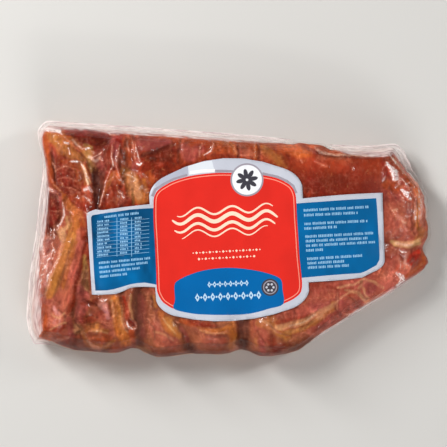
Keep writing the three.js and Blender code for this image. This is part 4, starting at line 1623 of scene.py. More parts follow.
    def build(self, top: Chart) -> Piece:
        """Builds the slab.

        Args:
            top: heights of its top face.

        Returns:
            The dressed piece.
        """
        form, steps = self.form, len(self.form.side_shares)
        spare = self.tent * np.maximum(form.strip - 2.5, 0)
        inset = np.full((len(form.offsets) + 1, form.points), self.gap)
        for row in range(1, steps + 1):
            inset[row] += spare * math.sqrt(math.sin(math.pi * row / (steps + 2)))
        shell = self.maker.make(top, inset - form.bulge(), self.gap)
        a, b = shell.around.T
        shell.push(0.4 * hills(a + shell.down, b - shell.down, 6.0, 41) - 0.3)
        x, y, high = shell.corners.T
        colours = np.ones((len(high), 4))
        colours[:, :3] = self.painting().at(x, y)
        rim_height = high[:form.points][shell.ring]
        fall = (rim_height - high) / np.maximum(rim_height - self.seam_level, 1.0)
        fall = ramp(0.62, 1.0, fall + 0.16 * hills(a, b, 9.0, 36))
        share = np.where(shell.side & (shell.ring >= 0), fall, shell.depth > 3)[:, None]
        colours[:, :3] += share * (self.side_colours(shell) - colours[:, :3])
        patches = 0.22 * hills(a + 2 * high, b - 1.6 * high, 6.0, 35)
        colours[shell.side, :3] *= (1 + patches[shell.side])[:, None]
        piece = new_object("pork_slab", shell.corners, shell.faces, self.finish.material())
        # the meat's colours, painted highlights and painted shade included
        store(piece, tissue=colours)
        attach(piece, "root")
        return piece


# ---- film ----

# Where the film has creases or lies in layers, raised there and painted white as its glints, a painted
# highlight: strength, and the stroke's route.
CREASE_GLINTS = Stroke.table("""
.85 -113,67,1.4 -108,67,1.8 -104,66,1.4
.8 -101,59.5,.8 -98.5,58.5,.9
.7 -98.4,56,.5 -97.4,52,.6
.9 -96.5,47.6,.7 -93,47.4,.9
.75 -90.5,46,.6 -88,42,.8 -86,37,.9
.8 -87.5,55,.8 -85.5,55.6
.65 -84.5,49,.5 -81,51.5,.6 -78,53.5
.6 -79.5,50,.5 -77.5,48,.6
.7 -88,30,1.6 -85.5,31,2 -84,29,1.2
.6 -88.5,26,.8 -85.5,23.5,1.3 -84.5,21.5,.8
.6 -88.5,16.5,.5 -86.5,14.5,.8
.55 -108.4,47,.5 -107,44.5 -106.5,41,.4
.6 -102.4,34.5,.5 -101.5,32.5
.6 -111,31,1.2 -108.5,29.5,1.4
.7 -101.8,22,.7 -101.3,15,1 -103,10,.8 -106,7.5,.7
.6 -97.5,17,.6 -95.4,15,.7
.55 -107.8,8,.4 -107.9,0,.5
.6 -103,9,.4 -106,5,.5
.55 -76,67,.5 -73,64.5,.8 -69,64,.7 -66,65.5,.6
.6 -71,57,.5 -72,51,.8 -70.5,45,.7
.6 -66.5,57,.5 -68.5,50,.6 -69.2,45,.5
.65 -71.5,44,.4 -75,36,.5 -77.5,26 -79,19.5
.6 -69,45,.4 -66.5,38,.6 -64,33,.5
.6 -67.5,28.5,.5 -65.5,27.5,.8 -64,25,.6
.7 -68,37,.4 -66.2,35.5,.5
.6 -59,61,.35 -57.6,53,.45 -57,48.5,.5
.7 -57.3,59,.35 -55.4,52,.6 -54.5,48
.95 -56.5,46.4,.7 -54.5,45.6,1.1 -53.2,46.4,.8
.7 -58,41.5,.4 -57.4,38.5,.5
.7 -54.5,39,.4 -53.4,37.5,.5
.45 -50,66,.7 -40,64.5,.6
.6 -16.4,59.5,.35 -17.8,54.5,.5 -17.6,50.2,.4
.75 -8.6,58.5,.4 -10.6,54,.7 -15,51.3,.5
.5 7,51.2,.4 14,51.5
.45 16.2,60,.35 16.2,50,.4
.4 3,59,.35 4.5,54,.4
.6 53.5,55.6,.4 57,53,.7 63,51.5,.5 71,51.2,.4
.45 54,47.6,.5 57.5,45.4,.9 61,44.2,.5
.5 44.8,48.5,.4 45.6,46.6,.5
.55 76.5,44,.35 76.8,42,.4
.6 94,52.5,.6 96,50.5
1 97.5,47,.6 100,44,1.6 102.5,40.5,2.6 103.4,37,2.4 102,35.8,1
.6 95.5,43.5,.5 97.5,46.5
.7 99,53,.5 104,46,.6 108,40
.6 104,51,.4 109.6,44,.5 115,37.4
.6 107,37,.5 110,33.5 113,35.5
1 107,30,.8 110,27.5,2 112,24.5,1.2
.7 105.6,27,.5 108,25,.6
.5 111,31,.4 115,25,.5
.65 106.6,24.5,.6 108.5,22.6,.5
.8 117.6,31,.4 118.8,22,.6 117.8,12,.5
.6 119.6,27,.6 120,18,1.1 119.4,11,.8
.4 115.4,28,.35 116.2,18,.4 115.4,10,.35
.45 102.4,18.8,.5 103.6,16.6,.8
.35 99.5,0,.5 106,7 109,13,.4
.5 100.5,18,.4 104,12,.5 110,10.5
.5 100.5,-5,.4 103.5,-6.6,.5
1 105.3,-6.8,.45 107.4,-8.4,.7 110.3,-8.4,.45
.5 117,-1.5,.4 122.5,1.5,.5
.5 111.3,-15,.4 112.3,-19,.5
.7 103.5,-21,1 106.5,-23.5,2.2 108,-25.6,1.8 104.5,-28.6,1.2
.5 106.4,-14,.4 106,-19,.6
.55 108.6,-15,.4 108.4,-19,.5
.4 96.5,-22,.6 97,-26,.5
.5 72.5,-47,1 78,-46.5,.6 90,-39.5,.5
.3 80,-42,.4 87,-39,.5
.35 67.5,-34,.4 67,-44,.5
.45 -113.5,3,.8 -114.5,-8,1 -115,-18,1.1 -116,-30,1
.6 -109,-2.4,.4 -107.4,-6,.5 -109.5,-11,.6 -113,-17.5
.6 -105,-12,.5 -108.5,-19,.6 -112,-27,.5
.5 -113.4,-6,.5 -114,-14,.6
.5 -101.6,0,.5 -104.5,-10,.6
.35 -105.5,-44,.4 -102,-47,.5 -105.5,-52
.35 -99,-47,.4 -97,-46,.6
.65 -79,-37.6,.5 -77,-38.6,.6 -74.5,-37.4,.5
.5 -76,-41,.6 -74,-44,.8
.45 -75.5,-46.6,.4 -73,-46.6
.4 -60.6,-35,.35 -60.7,-43,.45 -58.5,-48,.4
.75 -62.6,-50.5,.5 -61.6,-53.6,.8 -59.5,-55.8,.6 -57.2,-55.5
.6 -57.6,-51.5,.4 -56.8,-54.5,.5
.4 -46,-51,.4 -43.5,-54,.5
.4 -32.6,-50.4,.5 -30.4,-52
.6 3.6,-66,.5 5,-67.4,.7
.9 97,57,1.8 101,56,2.4 104,53,2.2 106,49,1.4
.35 -98,-61,.8 -107,-63.4
.45 -105,-13,.4 -109,-24 -113,-36
.5 -101,-4,.5 -104.6,-12 -107.4,-18,.4
.6 -113.6,-9,.5 -111,-14,.6 -113,-19,.5
.55 -108.6,-2,.4 -106.4,-8,.5 -108,-13,.4
.5 -115,-14,.4 -112,-20,.5 -109,-26,.4
.6 -103,-10,.4 -105.6,-16,.5
.35 -112,-44,.4 -106,-46.6 -101,-50
.35 -110,-52,.4 -104,-54 -100,-51
.3 -97,-12,.4 -101,-24
.4 -88,-60,.5 -84,-65.6 -78,-67.4 -71,-65,.4
.35 -86,-57,.4 -78,-55.4
.35 -71,-41,.4 -70.6,-50
.4 -77,-47,.4 -73,-48
.4 -78,-51,.4 -73,-52
.3 -47,-49,.4 -42,-53 -40,-57
.3 -44,-60,.4 -38,-62
.3 -46,-64,.4 -40,-66.5
.4 -15,-56,.4 -8,-58.6 0,-57.6
.35 20,-52,.4 27,-56.6 33,-58.6
.4 34,-56,.4 42,-54.4 50,-50.6 58,-46
.4 66,-40,.4 72,-35 80,-30 86,-25.5
.35 60,-43,.4 55,-46.4
.7 74,-48,.5 82,-43.6 92,-37.4 101,-31.4
.6 84,-40.8,.5 90,-36.8 96,-32.4
.4 -106,42,.4 -100,44.4 -95,43
.35 -105,37,.4 -99,38 -93,35
.35 -102,32,.4 -96,31 -91,28
.45 -115.4,60,.4 -113.4,50 -111.2,41 -108,33.6 -103,29
.5 -103,65,.4 -99.4,61,.5 -96,58.6,.4
.5 -92,57,.5 -90,55 -88,55.6
.45 -84,53.6,.5 -81,50
.45 -74,35,.4 -70,38.6 -67,38
.4 -66,37.6,.5 -61,41 -55,40.6 -50,37.6
.35 -4,61.4,.4 2,58 4.6,52
.35 99,21,.4 104,14 109,12.6
.4 113,30,.4 115.6,24 115,12
.55 111,41,.4 117,34,.5 120.6,25
.6 109,43.5,.4 115,37,.5 119,30,.4
.5 113,36,.4 117,27,.45 118,16,.4
.62 121.4,27,.5 122.6,20,.6 122.6,12,.5
.45 115,22,.35 116,12,.4 115.6,4,.35
.5 119.6,14,.4 119.8,7,.45 122.6,2,.4
.42 112.6,30,.35 110.6,24,.4 111,18,.3
.4 106.6,44,.4 110,39
.45 109,33.6,.5 112.6,31 115,31.6,.4
.5 118,34,.4 114.6,33
.4 118,10,.4 121,9
.35 103,24,.4 108,20
.45 114,-20,.4 118.6,-17,.45 121.4,-14.6,.4
""")

# Where the film is finely crinkled, raised there and laced with painted glints: height, and the route.
CRINKLED = Stroke.table("""
.5 -110,64,8 -96,56 -82,50,6
.4 -109,24,5 -108,6
.8 -111,0,4 -111,-14,4.6 -113,-28,3
.35 -97,44,8 -92,30
.4 -72,46,4 -72,26,6 -60,32,7
.6 100,46,4 108,36,6 114,26,5 117,14,4
.45 106,10,7 108,-8,8 105,-24,7
.3 50,-36,8 80,-32
.35 -76,-38,5 -62,-50
.2 -60,58,6 -10,56,5 30,54,6
.25 -40,-60,8 0,-60 40,-58
.25 -84,-62,8
.12 50,42,8 88,42
""")


@dataclass(frozen=True)
class FilmFinish:
    """Clear shrunken film: glossy, white where it lies in layers, and with glints painted white along its
    creases.
    """

    # white of the film's layers, and of its painted glints
    layers_and_glints: Triple = linear(255, 244, 240)
    layered: Triple = linear(206, 182, 184)  # between the strip's streaks
    # peach of the faintest painted glints
    faint_glint: Triple = linear(240, 150, 116)  # of the faintest creases
    veil: float = 0.003  # how much the clear film whitens what lies behind it
    roughness: float = 0.12
    mirror_limit: float = 0.02  # the pale table mustn't veil the steep sides

    def material(self, name: str) -> Material:
        """Builds the material.

        Args:
            name: its name.

        Returns:
            The finished material.
        """
        sheet = ShaderSheet(name)
        place = sheet.place()
        lie = sheet.attribute("lie", "Vector")
        haze = sheet.attribute("haze", "Fac")
        calm = sheet.attribute("calm", "Fac")
        streaks = sheet.noise(sheet.stretched(lie, (0.08, 0.08, 1.0)), 1.0, 4.0, 0.6)
        broken = sheet.noise(place, 900.0, 3.0, 0.65)
        ripples = sheet.noise(place, 380.0, 3.0, 0.5)
        normal = sheet.bump(ripples * 0.7 + streaks * 0.3, 0.22, 0.0011)
        # off the strip, the whiteness is painted glints, broken into pieces
        pieces = 0.35 + 0.85 * broken.stepped(0.38, 0.6)
        veiled = 0.7 + 0.35 * streaks.stepped(0.32, 0.62)
        white = haze * (calm * veiled + (1 - calm) * pieces)
        white = (white + self.veil).clamped()
        lined = sheet.mixed((streaks.stepped(0.36, 0.56) + (1 - calm)).clamped(), self.layered, self.layers_and_glints)
        tone = sheet.mixed((haze.stepped(0.3, 0.75) + calm).clamped(), self.faint_glint, lined)
        gloss = sheet.node("BsdfGlossy", {}, {
            "Color": (1, 1, 1, 1), "Roughness": self.roughness, "Normal": normal})
        clear = sheet.node("BsdfTransparent", {}, {"Color": (0.99, 0.985, 0.98, 1)})
        mirror = sheet.node("Fresnel", {}, {"IOR": 1.35, "Normal": normal})
        share = mirror.at_most(self.mirror_limit)
        film = sheet.node("MixShader", {}, {0: share, 1: clear, 2: gloss})
        layers_and_glints = sheet.principled({
            "Base Color": tone, "Roughness": 0.3, "Specular IOR Level": 0.3, "Normal": normal})
        return sheet.finish(sheet.node("MixShader", {}, {0: white, 1: film, 2: layers_and_glints}))


@dataclass
class Film:
    """The shrunken bag, tight over the slab and tented at its edges."""

    form: PackForm
    maker: ShellMaker
    finish: FilmFinish = FilmFinish()
    gap: float = 0.25  # between the meat and the film
    bridge: float = 2.6  # furrows narrower than twice this are bridged
    edge_haze: float = 0.6  # whiteness of the strip along the pack's edge
    # a thin line painted light along that fold, a painted highlight
    lip_highlight: float = 0.75  # and of the fold where the strip meets the meat
    side_haze: float = 0.015  # and of the sides below the seam
    seam_half: float = 0.28  # half the seam's thickness

    def __post_init__(self) -> None:
        """Charts how strongly the film is crinkled."""
        self.crinkles: Array = 0.8 * StrokeBoard(1.5).heap(CRINKLED, 0.6, adds=False).values

    def heights(self, pork: Chart) -> Chart:
        """Shapes the film over the meat, taut across its furrows, with raised wrinkles.

        Args:
            pork: heights of the meat.

        Returns:
            The film's heights.
        """
        taut = pork.closed(self.bridge).blurred(0.7)
        board = StrokeBoard(0.35).heap(tuple(stroke.scaled(0.8, 1.1, 0.55) for stroke in CREASE_GLINTS), 0.9)
        rise = self.gap + board.values + self.crinkles * folded(board.x, board.y, 2)
        return Chart(np.maximum(taut.values, pork.values) + rise)

    def haze_chart(self) -> Chart:
        """Charts the film on the top face and above the seam.

        Returns:
            How white it is, its painted glints included, and where that is the strip.
        """
        board = StrokeBoard(0.35).heap(tuple(stroke.scaled(0.85, 0.85) for stroke in CREASE_GLINTS), 0.6, adds=False)
        x, y = board.x, board.y
        edge, share = self.form.edge.values, self.form.edge_share.values
        wide = edge / np.maximum(share, 0.01)
        fade = 1 + 0.15 * hills(x, y, 7.0, 55)
        lower_right = ramp(50, 60, x) * ramp(20, 26, -y)
        fade *= np.maximum(ramp(1.4, 3.0, wide), 0.4 * lower_right)
        strip = self.edge_haze * (1 - ramp(0.8, 1.15, share + 0.14 * hills(x, y, 3.0, 54)))
        lip = np.exp(-((edge - wide) / 0.45) ** 2) * ramp(-0.9, 0.4, hills(x, y, 6.0, 53))
        strip = fade * np.maximum(strip, self.lip_highlight * lip)
        # painted glints along the creases, and a web of them over the crinkles
        painted_glints = board.values + self.crinkles * folded(x, y, 5)
        return Chart(np.stack([np.maximum(painted_glints, strip), (strip > 0.02) * 1.0], axis=-1))

    def lie(self, shell: Shell) -> Array:
        """Where each corner is round the pack and how far in from the edge, for streaks.

        Args:
            shell: the skin.

        Returns:
            Three numbers for each corner.
        """
        form, (x, y) = self.form, shell.corners[:, :2].T
        on_top = np.column_stack([form.edge_circle.at(x, y), form.edge.at(x, y)])
        on_side = np.column_stack([shell.around, form.rim_offset[shell.ring] - shell.down])
        return np.where((shell.ring >= 0)[:, None], on_side, on_top)

    def build(self, top: Chart) -> Piece:
        """Builds the bag.

        Args:
            top: heights of its top face.

        Returns:
            The dressed piece.
        """
        shell = self.maker.make(top, -self.form.bulge(), 0.0)
        a, b = 0.4 * shell.around.T
        shell.push(0.25 * hills(a + shell.down, b - shell.down, 2.2, 52))
        chart = self.haze_chart().at(*shell.corners[:, :2].T)
        above = ramp(10.0, 15.0, shell.corners[:, 2])
        haze = self.side_haze + above * (chart[:, 0] - self.side_haze)
        piece = new_object("film_bag", shell.corners, shell.faces, self.finish.material("shrunken_film"))
        store(piece, haze=haze, calm=np.maximum(chart[:, 1], 1 - above), lie=self.lie(shell))
        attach(piece, "root")
        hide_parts("vacuum_pack")
        piece.visible_shadow = False  # clear film dims nothing that lies under it
        return piece

    def build_seam(self) -> Piece:
        """Builds the welded seam that stands out round the pack.

        Returns:
            The dressed piece.
        """
        form = self.form
        a, b = form.circle().T
        middle = form.heights[len(form.side_shares) - 1] - 1.0
        middle = np.clip(blur_round(middle, 12), 10.6, 13.4) + 0.35 * hills(a, b, 6.0, 61)
        edge = 0.3 * (hills(a, b, 5.0, 62) + 0.4 * hills(a, b, 1.8, 63))
        edge = 0.12 + np.maximum(edge, -0.1)
        half = self.seam_half
        section = (
            (form.seam_offset + 0.9, half, 0.15), (0.9 + edge, half, 0.3), (edge, 0.6 * half, 0.9),
            (edge, -0.6 * half, 0.9), (0.9 + edge, -half, 0.3), (form.seam_offset + 0.9, -half, 0.15),
        )
        curl = 0.5 * hills(a, b, 11.0, 64)
        lower_right = (form.outline[:, 0] > 56) & (form.outline[:, 1] < -24)
        slack = np.maximum(ramp(1.2, 3.0, form.strip), 0.5 * blur_round(lower_right * 1.0, 6))
        corners, faces, lie, haze = [], [], [], []
        for offset, rise, white in section:
            out = 1 - np.clip(offset / 2.4, 0, 1)
            corners.append(np.column_stack([form.inset(offset), middle + rise + curl * out]))
            lie.append(np.column_stack([a, b, offset + 0 * a]))
            haze.append(white * (0.06 + 0.94 * slack))
        for level in range(len(section)):
            first, second = (number % len(section) * form.points for number in (level, level + 1))
            faces += band(np.arange(form.points) + first, np.arange(form.points) + second)
        material = self.finish.material("welded_seam")
        piece = new_object("film_seam", np.vstack(corners), faces, material)
        calm = np.ones(len(section) * form.points)
        store(piece, haze=np.concatenate(haze), calm=calm, lie=np.vstack(lie))
        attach(piece, "root")
        return piece


# ---- label ----

# The label's sharp corners: x, y, and how far round them the outline turns.
LABEL_CORNERS = points_of("95.3,28.3,4.6 -83.9,-34.5,4.2 -87.2,15.6,3.4")


class Ink(Colours):
    """The label's printed colours, and the shade, sheen and glare painted on its border."""

    BORDER = (198, 200, 210)
    SHADOW = (158, 150, 160)
    # painted shade on the border's top left shoulder
    BORDER_SHADE = (180, 182, 196)
    SHEEN = (222, 226, 232)
    GLARE = (246, 240, 238)
    RED = (224, 44, 34)
    KEYLINE = (250, 150, 128)
    BLUE = (0, 100, 166)
    WING = (0, 99, 156)
    WHITE = (244, 244, 246)
    CREAM = (252, 222, 196)
    PALE = (190, 220, 240)
    TYPE = (144, 190, 222)
    CHARCOAL = (64, 62, 70)


Prints = list[tuple[Array, Ink]]  # closed loops and what they are filled with


@dataclass(frozen=True)
class LabelFinish:
    """Coated paper with a soft sheen."""

    roughness: float = 0.36

    def material(self) -> Material:
        """Builds the material.

        Returns:
            The finished material.
        """
        sheet = ShaderSheet("printed_paper")
        place = sheet.place()
        ink = sheet.attribute("ink", "Color")
        mottle = sheet.noise(place, 700.0, 3.0, 0.6)
        cloud = sheet.noise(place, 45.0, 2.0)
        shaded = sheet.mixed(1.0, ink, (0.84, 0.85, 0.87), "MULTIPLY")
        share = (mottle * 0.35 + cloud.stepped(0.35, 0.7) * 0.35).clamped()
        colour = sheet.mixed(share, ink, shaded)
        waves = sheet.noise(place, 60.0, 2.0)
        principled = sheet.principled({
            "Base Color": colour,
            "Roughness": (mottle * 0.12 + (self.roughness - 0.06)).clamped(),
            "Normal": sheet.bump(waves * 0.8 + mottle * 0.06, 0.25, 0.0012),
            "Specular IOR Level": 0.3,
            "Coat Weight": 0.08,
            "Coat Roughness": 0.1,
        })
        return sheet.finish(principled)


def ellipse(middle: Pair, radii: Pair, steps: int = 40, turn: float = 0.0) -> Array:
    """Draws a closed ellipse.

    Args:
        middle: its middle.
        radii: along and across.
        steps: how many points.
        turn: its lean.

    Returns:
        Its points.
    """
    angles = np.linspace(0, 2 * math.pi, steps, endpoint=False)
    x, y = radii[0] * np.cos(angles), radii[1] * np.sin(angles)
    c, s = math.cos(turn), math.sin(turn)
    return np.column_stack([middle[0] + c * x - s * y, middle[1] + s * x + c * y])


def box_loop(left: float, low: float, right: float, high: float) -> Array:
    """A closed rectangle."""
    return np.array([(left, low), (right, low), (right, high), (left, high)])


def smooth_loop(corners: str, step: float = 1.2) -> Array:
    """Draws a closed loop, rounded where it turns gently.

    Args:
        corners: its corners as text.
        step: between its points.

    Returns:
        Its points.
    """
    points = np.array(points_of(corners))
    count, result = len(points), []
    for k in range(count):
        p0, p1, p2, p3 = (points[(k + j) % count] for j in (-1, 0, 1, 2))
        steps = max(int(np.linalg.norm(p2 - p1) / step), 1)
        for t in np.arange(steps) / steps:
            line = 2 * p1 + (p2 - p0) * t + (2 * p0 - 5 * p1 + 4 * p2 - p3) * t * t
            result.append(0.5 * (line + (3 * p1 - p0 - 3 * p2 + p3) * t ** 3))
    return np.array(result)


def ribbon(centre: Array, half_width: Array) -> Array:
    """Draws round a line.

    Args:
        centre: the line.
        half_width: at each of its points.

    Returns:
        The closed outline.
    """
    ahead = np.gradient(centre, axis=0)
    ahead /= np.linalg.norm(ahead, axis=1, keepdims=True)
    aside = np.column_stack([-ahead[:, 1], ahead[:, 0]]) * half_width[:, None]
    return np.vstack([centre - aside, (centre + aside)[::-1]])


@dataclass
class Label:
    """The die-cut label: a tall red panel with a blue wing at each side."""

    loop: Array
    thickness: float = 0.3
    lift: float = 0.12  # above the film
    hollow: float = 0.8  # between its middle and the film
    grid: float = 1.7
    finish: LabelFinish = LabelFinish()

    def heights(self, film: Chart) -> Chart:
        """Lays the stiff paper over the film.

        Args:
            film: heights of the film.

        Returns:
            The paper's heights.
        """
        smooth = film.blurred(3.4).values
        x, y = Chart.places()
        covered = within(self.loop, x, y)
        proud = Chart(np.where(covered, np.maximum(film.values - smooth, 0), 0)).blurred(3.0)
        return Chart(smooth + 0.8 * proud.values + self.lift)

    def panel(self) -> Prints:
        """Draws the middle panel.

        Returns:
            Its fields, from the lowest to the topmost.
        """
        red = smooth_loop("""
            -45.9,10 -45.3,0 -44.8,-10 -44.3,-20 -44.1,-28 -43.6,-33 -40.9,-38.3 -37.6,-41 -33.2,-43.3
            -22.4,-46.1 -13.1,-46.8 -2.3,-47 9.3,-46.7 17,-45.5 24.7,-43.3 33.9,-40.1 40.1,-37.2 44,-34.1
            45.3,-31 45.5,-27 45.1,-22.5 43.9,-11 43.2,.6 42.4,12.2 42,21.4 41.5,27 39.3,31.8 35.5,34.7
            30,37.2 22.4,38.9 12,40.2 2.3,40.5 -7,40.5 -17.7,39.5 -25.4,38.1 -33.2,35.7 -38.6,33
            -43.4,29.6 -45.6,25.5 -46,20""")
        arch = smooth_loop("""
            -33.2,-43.3 -32.8,-38 -33.2,-30 -32.4,-27 -30,-25.2 -25.4,-22.9 -17.7,-20.2 -10,-18.7
            -2.3,-18 5.4,-18.1 13.1,-19 20.8,-20.4 28.5,-22.7 32.2,-24.8 33.3,-27.5 33.5,-31 33.9,-40.1
            24.7,-43.3 17,-45.5 9.3,-46.7 -2.3,-47 -13.1,-46.8 -22.4,-46.1""", 0.9)
        # painted shade, a painted sheen and a painted glare on the border above the red
        shade = "-45,34 -40.5,38.4 -33,42.4 -24.8,44.9 -24.4,39.2 -34,36.6 -44,30"
        sheen = "-24.8,44.6 -17,47 -10,48 -8.2,41.2 -16,40.6 -24.3,39.2"
        gleam = "-23.6,41.6 -16,42.6 -8,42.9 -8.4,41 -16,40.6 -23.6,39.6"
        shapes = [(np.array(points_of(shape)), ink) for shape, ink in (
            (shade, Ink.BORDER_SHADE), (sheen, Ink.SHEEN), (gleam, Ink.GLARE))]
        for route in ("-46.6,26 -44.8,30.2 -38.9,33.9 -33.5,36.7 -25.2,39.2", "-8,41.5 -2,41.6 3,41.4",
                      "21,40 30.3,38 36,35.5 40.1,32.5 42,28"):
            centre = np.array(points_of(route))
            shapes.append((ribbon(centre, np.linspace(0.9, 0.7, len(centre))), Ink.SHADOW))
        shapes += [(red, Ink.RED), (drawn_in(red, 1.2), Ink.KEYLINE), (drawn_in(red, 1.75), Ink.RED)]
        return shapes + [(arch[::-1], Ink.BLUE)]

    def wings(self) -> Prints:
        """Draws the wings.

        Returns:
            The two blue fields.
        """
        left = """-45.4,18.8 -52,18.5 -60.5,17.9 -70,16.4 -78.3,15.3 -83.4,14.4 -84.4,13 -83.9,4 -83.2,-10
            -82.5,-22 -81.7,-32 -75,-31.9 -70.6,-31.2 -65,-29.6 -60.5,-28.2 -56,-27.4 -51.3,-27.1 -44,-28.4"""
        right = """44.5,-24.2 58,-23 70,-22 81.5,-21.3 85,-20 91.5,-16.4 93.3,-13 93.4,-10 92.6,4 91.9,18
            91.3,24.9 73,23.9 55,22.6 41.5,21.6"""
        return [(np.array(points_of(wing)), Ink.WING) for wing in (left, right)]

    def rashers(self) -> Prints:
        """Draws a cream rasher of wavy strips in the middle of the panel.

        Returns:
            The strips, and a rule below them.
        """
        shapes = []
        for rise, half_width, inset in (
                (6.3, 0.62, 3.0), (1.8, 1.25, 0.0), (-3.4, 0.95, 1.5), (-7.4, 0.45, 6.0)):
            t = np.linspace(0, 1, 80)
            x = -34.5 + inset + (65 - 2 * inset) * t
            wave = 2.9 * np.sin((x + 3) / 21.0 * 2 * math.pi) * (1 - 0.25 * np.cos((x + 3) / 65 * math.pi))
            taper = half_width * (0.3 + 0.7 * np.sin(math.pi * t) ** 0.4)
            shapes.append((ribbon(np.column_stack([x, 11.4 + rise + wave + 0.055 * x]), taper), Ink.CREAM))
        return shapes

    def medallion(self) -> Prints:
        """Draws the white disc at the top, with a plain rosette.

        Returns:
            Their shapes.
        """
        middle = (11.6, 36.2)
        shapes = [(ellipse(middle, (10.2, 10.2)), Ink.SHADOW), (ellipse(middle, (9.2, 9.2)), Ink.WHITE)]
        for angle in np.arange(8) * math.pi / 4 + 0.2:
            place = (middle[0] + 3.9 * math.cos(angle), middle[1] + 3.9 * math.sin(angle))
            shapes.append((ellipse(place, (2.9, 1.35), 20, angle), Ink.CHARCOAL))
        shapes.append((ellipse(middle, (1.7, 1.7), 20), Ink.CHARCOAL))
        shapes.append((ellipse(middle, (0.8, 0.8), 12), Ink.WHITE))
        return shapes

    def frieze(self, start: Pair, end: Pair, height: float, cells: int) -> Prints:
        """A row of diamonds with beads between them.

        Args:
            start: where its lower left corner is.
            end: where its lower right corner is.
            height: its height.
            cells: how many diamonds it has.

        Returns:
            Its shapes.
        """
        first, last = np.array(start), np.array(end)
        lean = math.atan2(last[1] - first[1], last[0] - first[0])
        pitch = (last - first) / cells
        middle = first + pitch / 2 + height / 2 * np.array((-math.sin(lean), math.cos(lean)))
        shapes = []
        for cell in range(cells):
            place = tuple(middle + cell * pitch)
            shapes.append((ellipse(place, (0.32 * pitch[0], 0.5 * height), 4, lean), Ink.PALE))
            shapes.append((ellipse(place, (0.12 * pitch[0], 0.2 * height), 4, lean), Ink.BLUE))
            if cell < cells - 1:
                between = tuple(middle + (cell + 0.5) * pitch)
                shapes.append((ellipse(between, (0.13 * height, 0.13 * height), 12), Ink.PALE))
        return shapes

    def ornaments(self) -> Prints:
        """Draws two friezes in the arch, two rows of spots above it, and a small round seal.

        Returns:
            Their shapes.
        """
        shapes = self.frieze((-13.2, -30.4), (13.2, -29.2), 3.9, 8)
        shapes += self.frieze((-21.2, -39.0), (21.3, -37.2), 5.1, 9)
        for (x, y), (right, up), spots, sizes in (
                ((-21.5, -8.9), (41, 2.2), 21, (0.5, 0.85)), ((-18, -12.6), (34, 1.8), 17, (0.85, 0.5))):
            for number, share in enumerate(np.linspace(0, 1, spots)):
                place, size = (x + right * share, y + up * share), sizes[number % 2]
                shapes.append((ellipse(place, (size, size), 4), Ink.CREAM))
        seal = (25.8, -30.0)
        for size, steps, ink in ((5.3, 40, Ink.CHARCOAL), (4.3, 32, Ink.SHADOW), (3.6, 32, Ink.CHARCOAL)):
            shapes.append((ellipse(seal, (size, size), steps), ink))
        for angle in np.arange(6) * math.pi / 3:
            place = (seal[0] + 2.1 * math.cos(angle), seal[1] + 2.1 * math.sin(angle))
            shapes.append((ellipse(place, (0.75, 0.75), 8), Ink.BORDER))
        return shapes

    def small_type(self) -> Prints:
        """Draws rows of tiny marks in the wings, and a ruled table.

        Returns:
            Their shapes.
        """
        rng = np.random.default_rng(7)
        shapes: Prints = []

        def row(start: Pair, end: Pair, height: float) -> None:
            """Prints a line of marks grouped like words.

            Args:
                start: its left end.
                end: its right end.
                height: of its marks.
            """
            length = math.dist(start, end)
            along = (np.array(end) - np.array(start)) / length
            aside = np.array((-along[1], along[0]))
            place = 0.0
            while place < length:
                for _ in range(int(rng.integers(3, 10))):
                    width, tall = float(rng.uniform(0.45, 0.85)), height * float(rng.choice((1.0, 1.0, 0.86)))
                    if place + width > length:
                        break
                    box = box_loop(place, 0, place + width, tall)
                    shapes.append((np.array(start) + box[:, :1] * along + box[:, 1:] * aside, Ink.TYPE))
                    place += width + 0.3
                place += 0.75

        right = """46.5,16.6,87,18.8 46.7,13.6,80,15.2 47,8.3,86.5,10.2 47,5.4,67,6.5 47.5,.4,89.8,2.7
            47.8,-2.4,86,-.4 48,-5.2,91,-2.8 48,-8.1,59,-7.5 48.7,-13.3,83,-11.2 48.9,-16,72,-14.7
            49.1,-18.7,75,-17.2"""
        left = """-76,12.6,-54,15.2 -79.5,-15.7,-47.5,-12.6 -79.3,-18.6,-49.5,-15.4 -79,-21.4,-54,-18.7
            -78.8,-24.2,-62,-22.4"""
        for lines, height in ((right, 1.6), (left, 1.45)):
            for line in points_of(lines):
                row(line[:2], line[2:], height)
        for low in 10.2 - 2.3 * np.arange(10):
            row((-80.4, low - 0.4), (-72.0 + float(rng.uniform(-2, 1)), low + 0.4), 1.2)
            row((-66.4, low + 1.0), (-61.4, low + 1.5), 1.2)
            row((-57.4, low + 1.8), (-53.2, low + 2.2), 1.2)
            rule = ((-81.0, low - 1.1), (-48.6, low + 2.0), (-48.6, low + 2.25), (-81.0, low - 0.85))
            shapes.append((np.array(rule), Ink.TYPE))
        for x in (-68.6, -59.6):
            shapes.append((box_loop(x, -11.0, x + 0.3, 13.0), Ink.TYPE))
        return shapes

    def wing_shading(self, places: Array, inks: Array) -> Array:
        """Paints shade on the wings, the left one darker and most towards its left edge, and mottles them
        and, faintly, the rest.

        Args:
            places: where the printed corners are.
            inks: their colours.

        Returns:
            The share of its light that each keeps.
        """
        x, y = places[:, 0], places[:, 1]
        wing = np.isclose(inks[:, :3], Ink.WING.light).all(axis=1)
        left = 1 - ramp(-46.0, -43.0, x)
        mottle = hills(1.6 * x, y, 13.0, 91) + 0.6 * hills(1.6 * x, y, 5.0, 92)
        edge = 1 - ramp(-84.0, -77.0, x)
        blue = (0.96 - 0.14 * left - 0.3 * left * edge) * (1 + (0.14 + 0.24 * left) * mottle)
        return np.where(wing, blue, 1 + 0.03 * mottle)

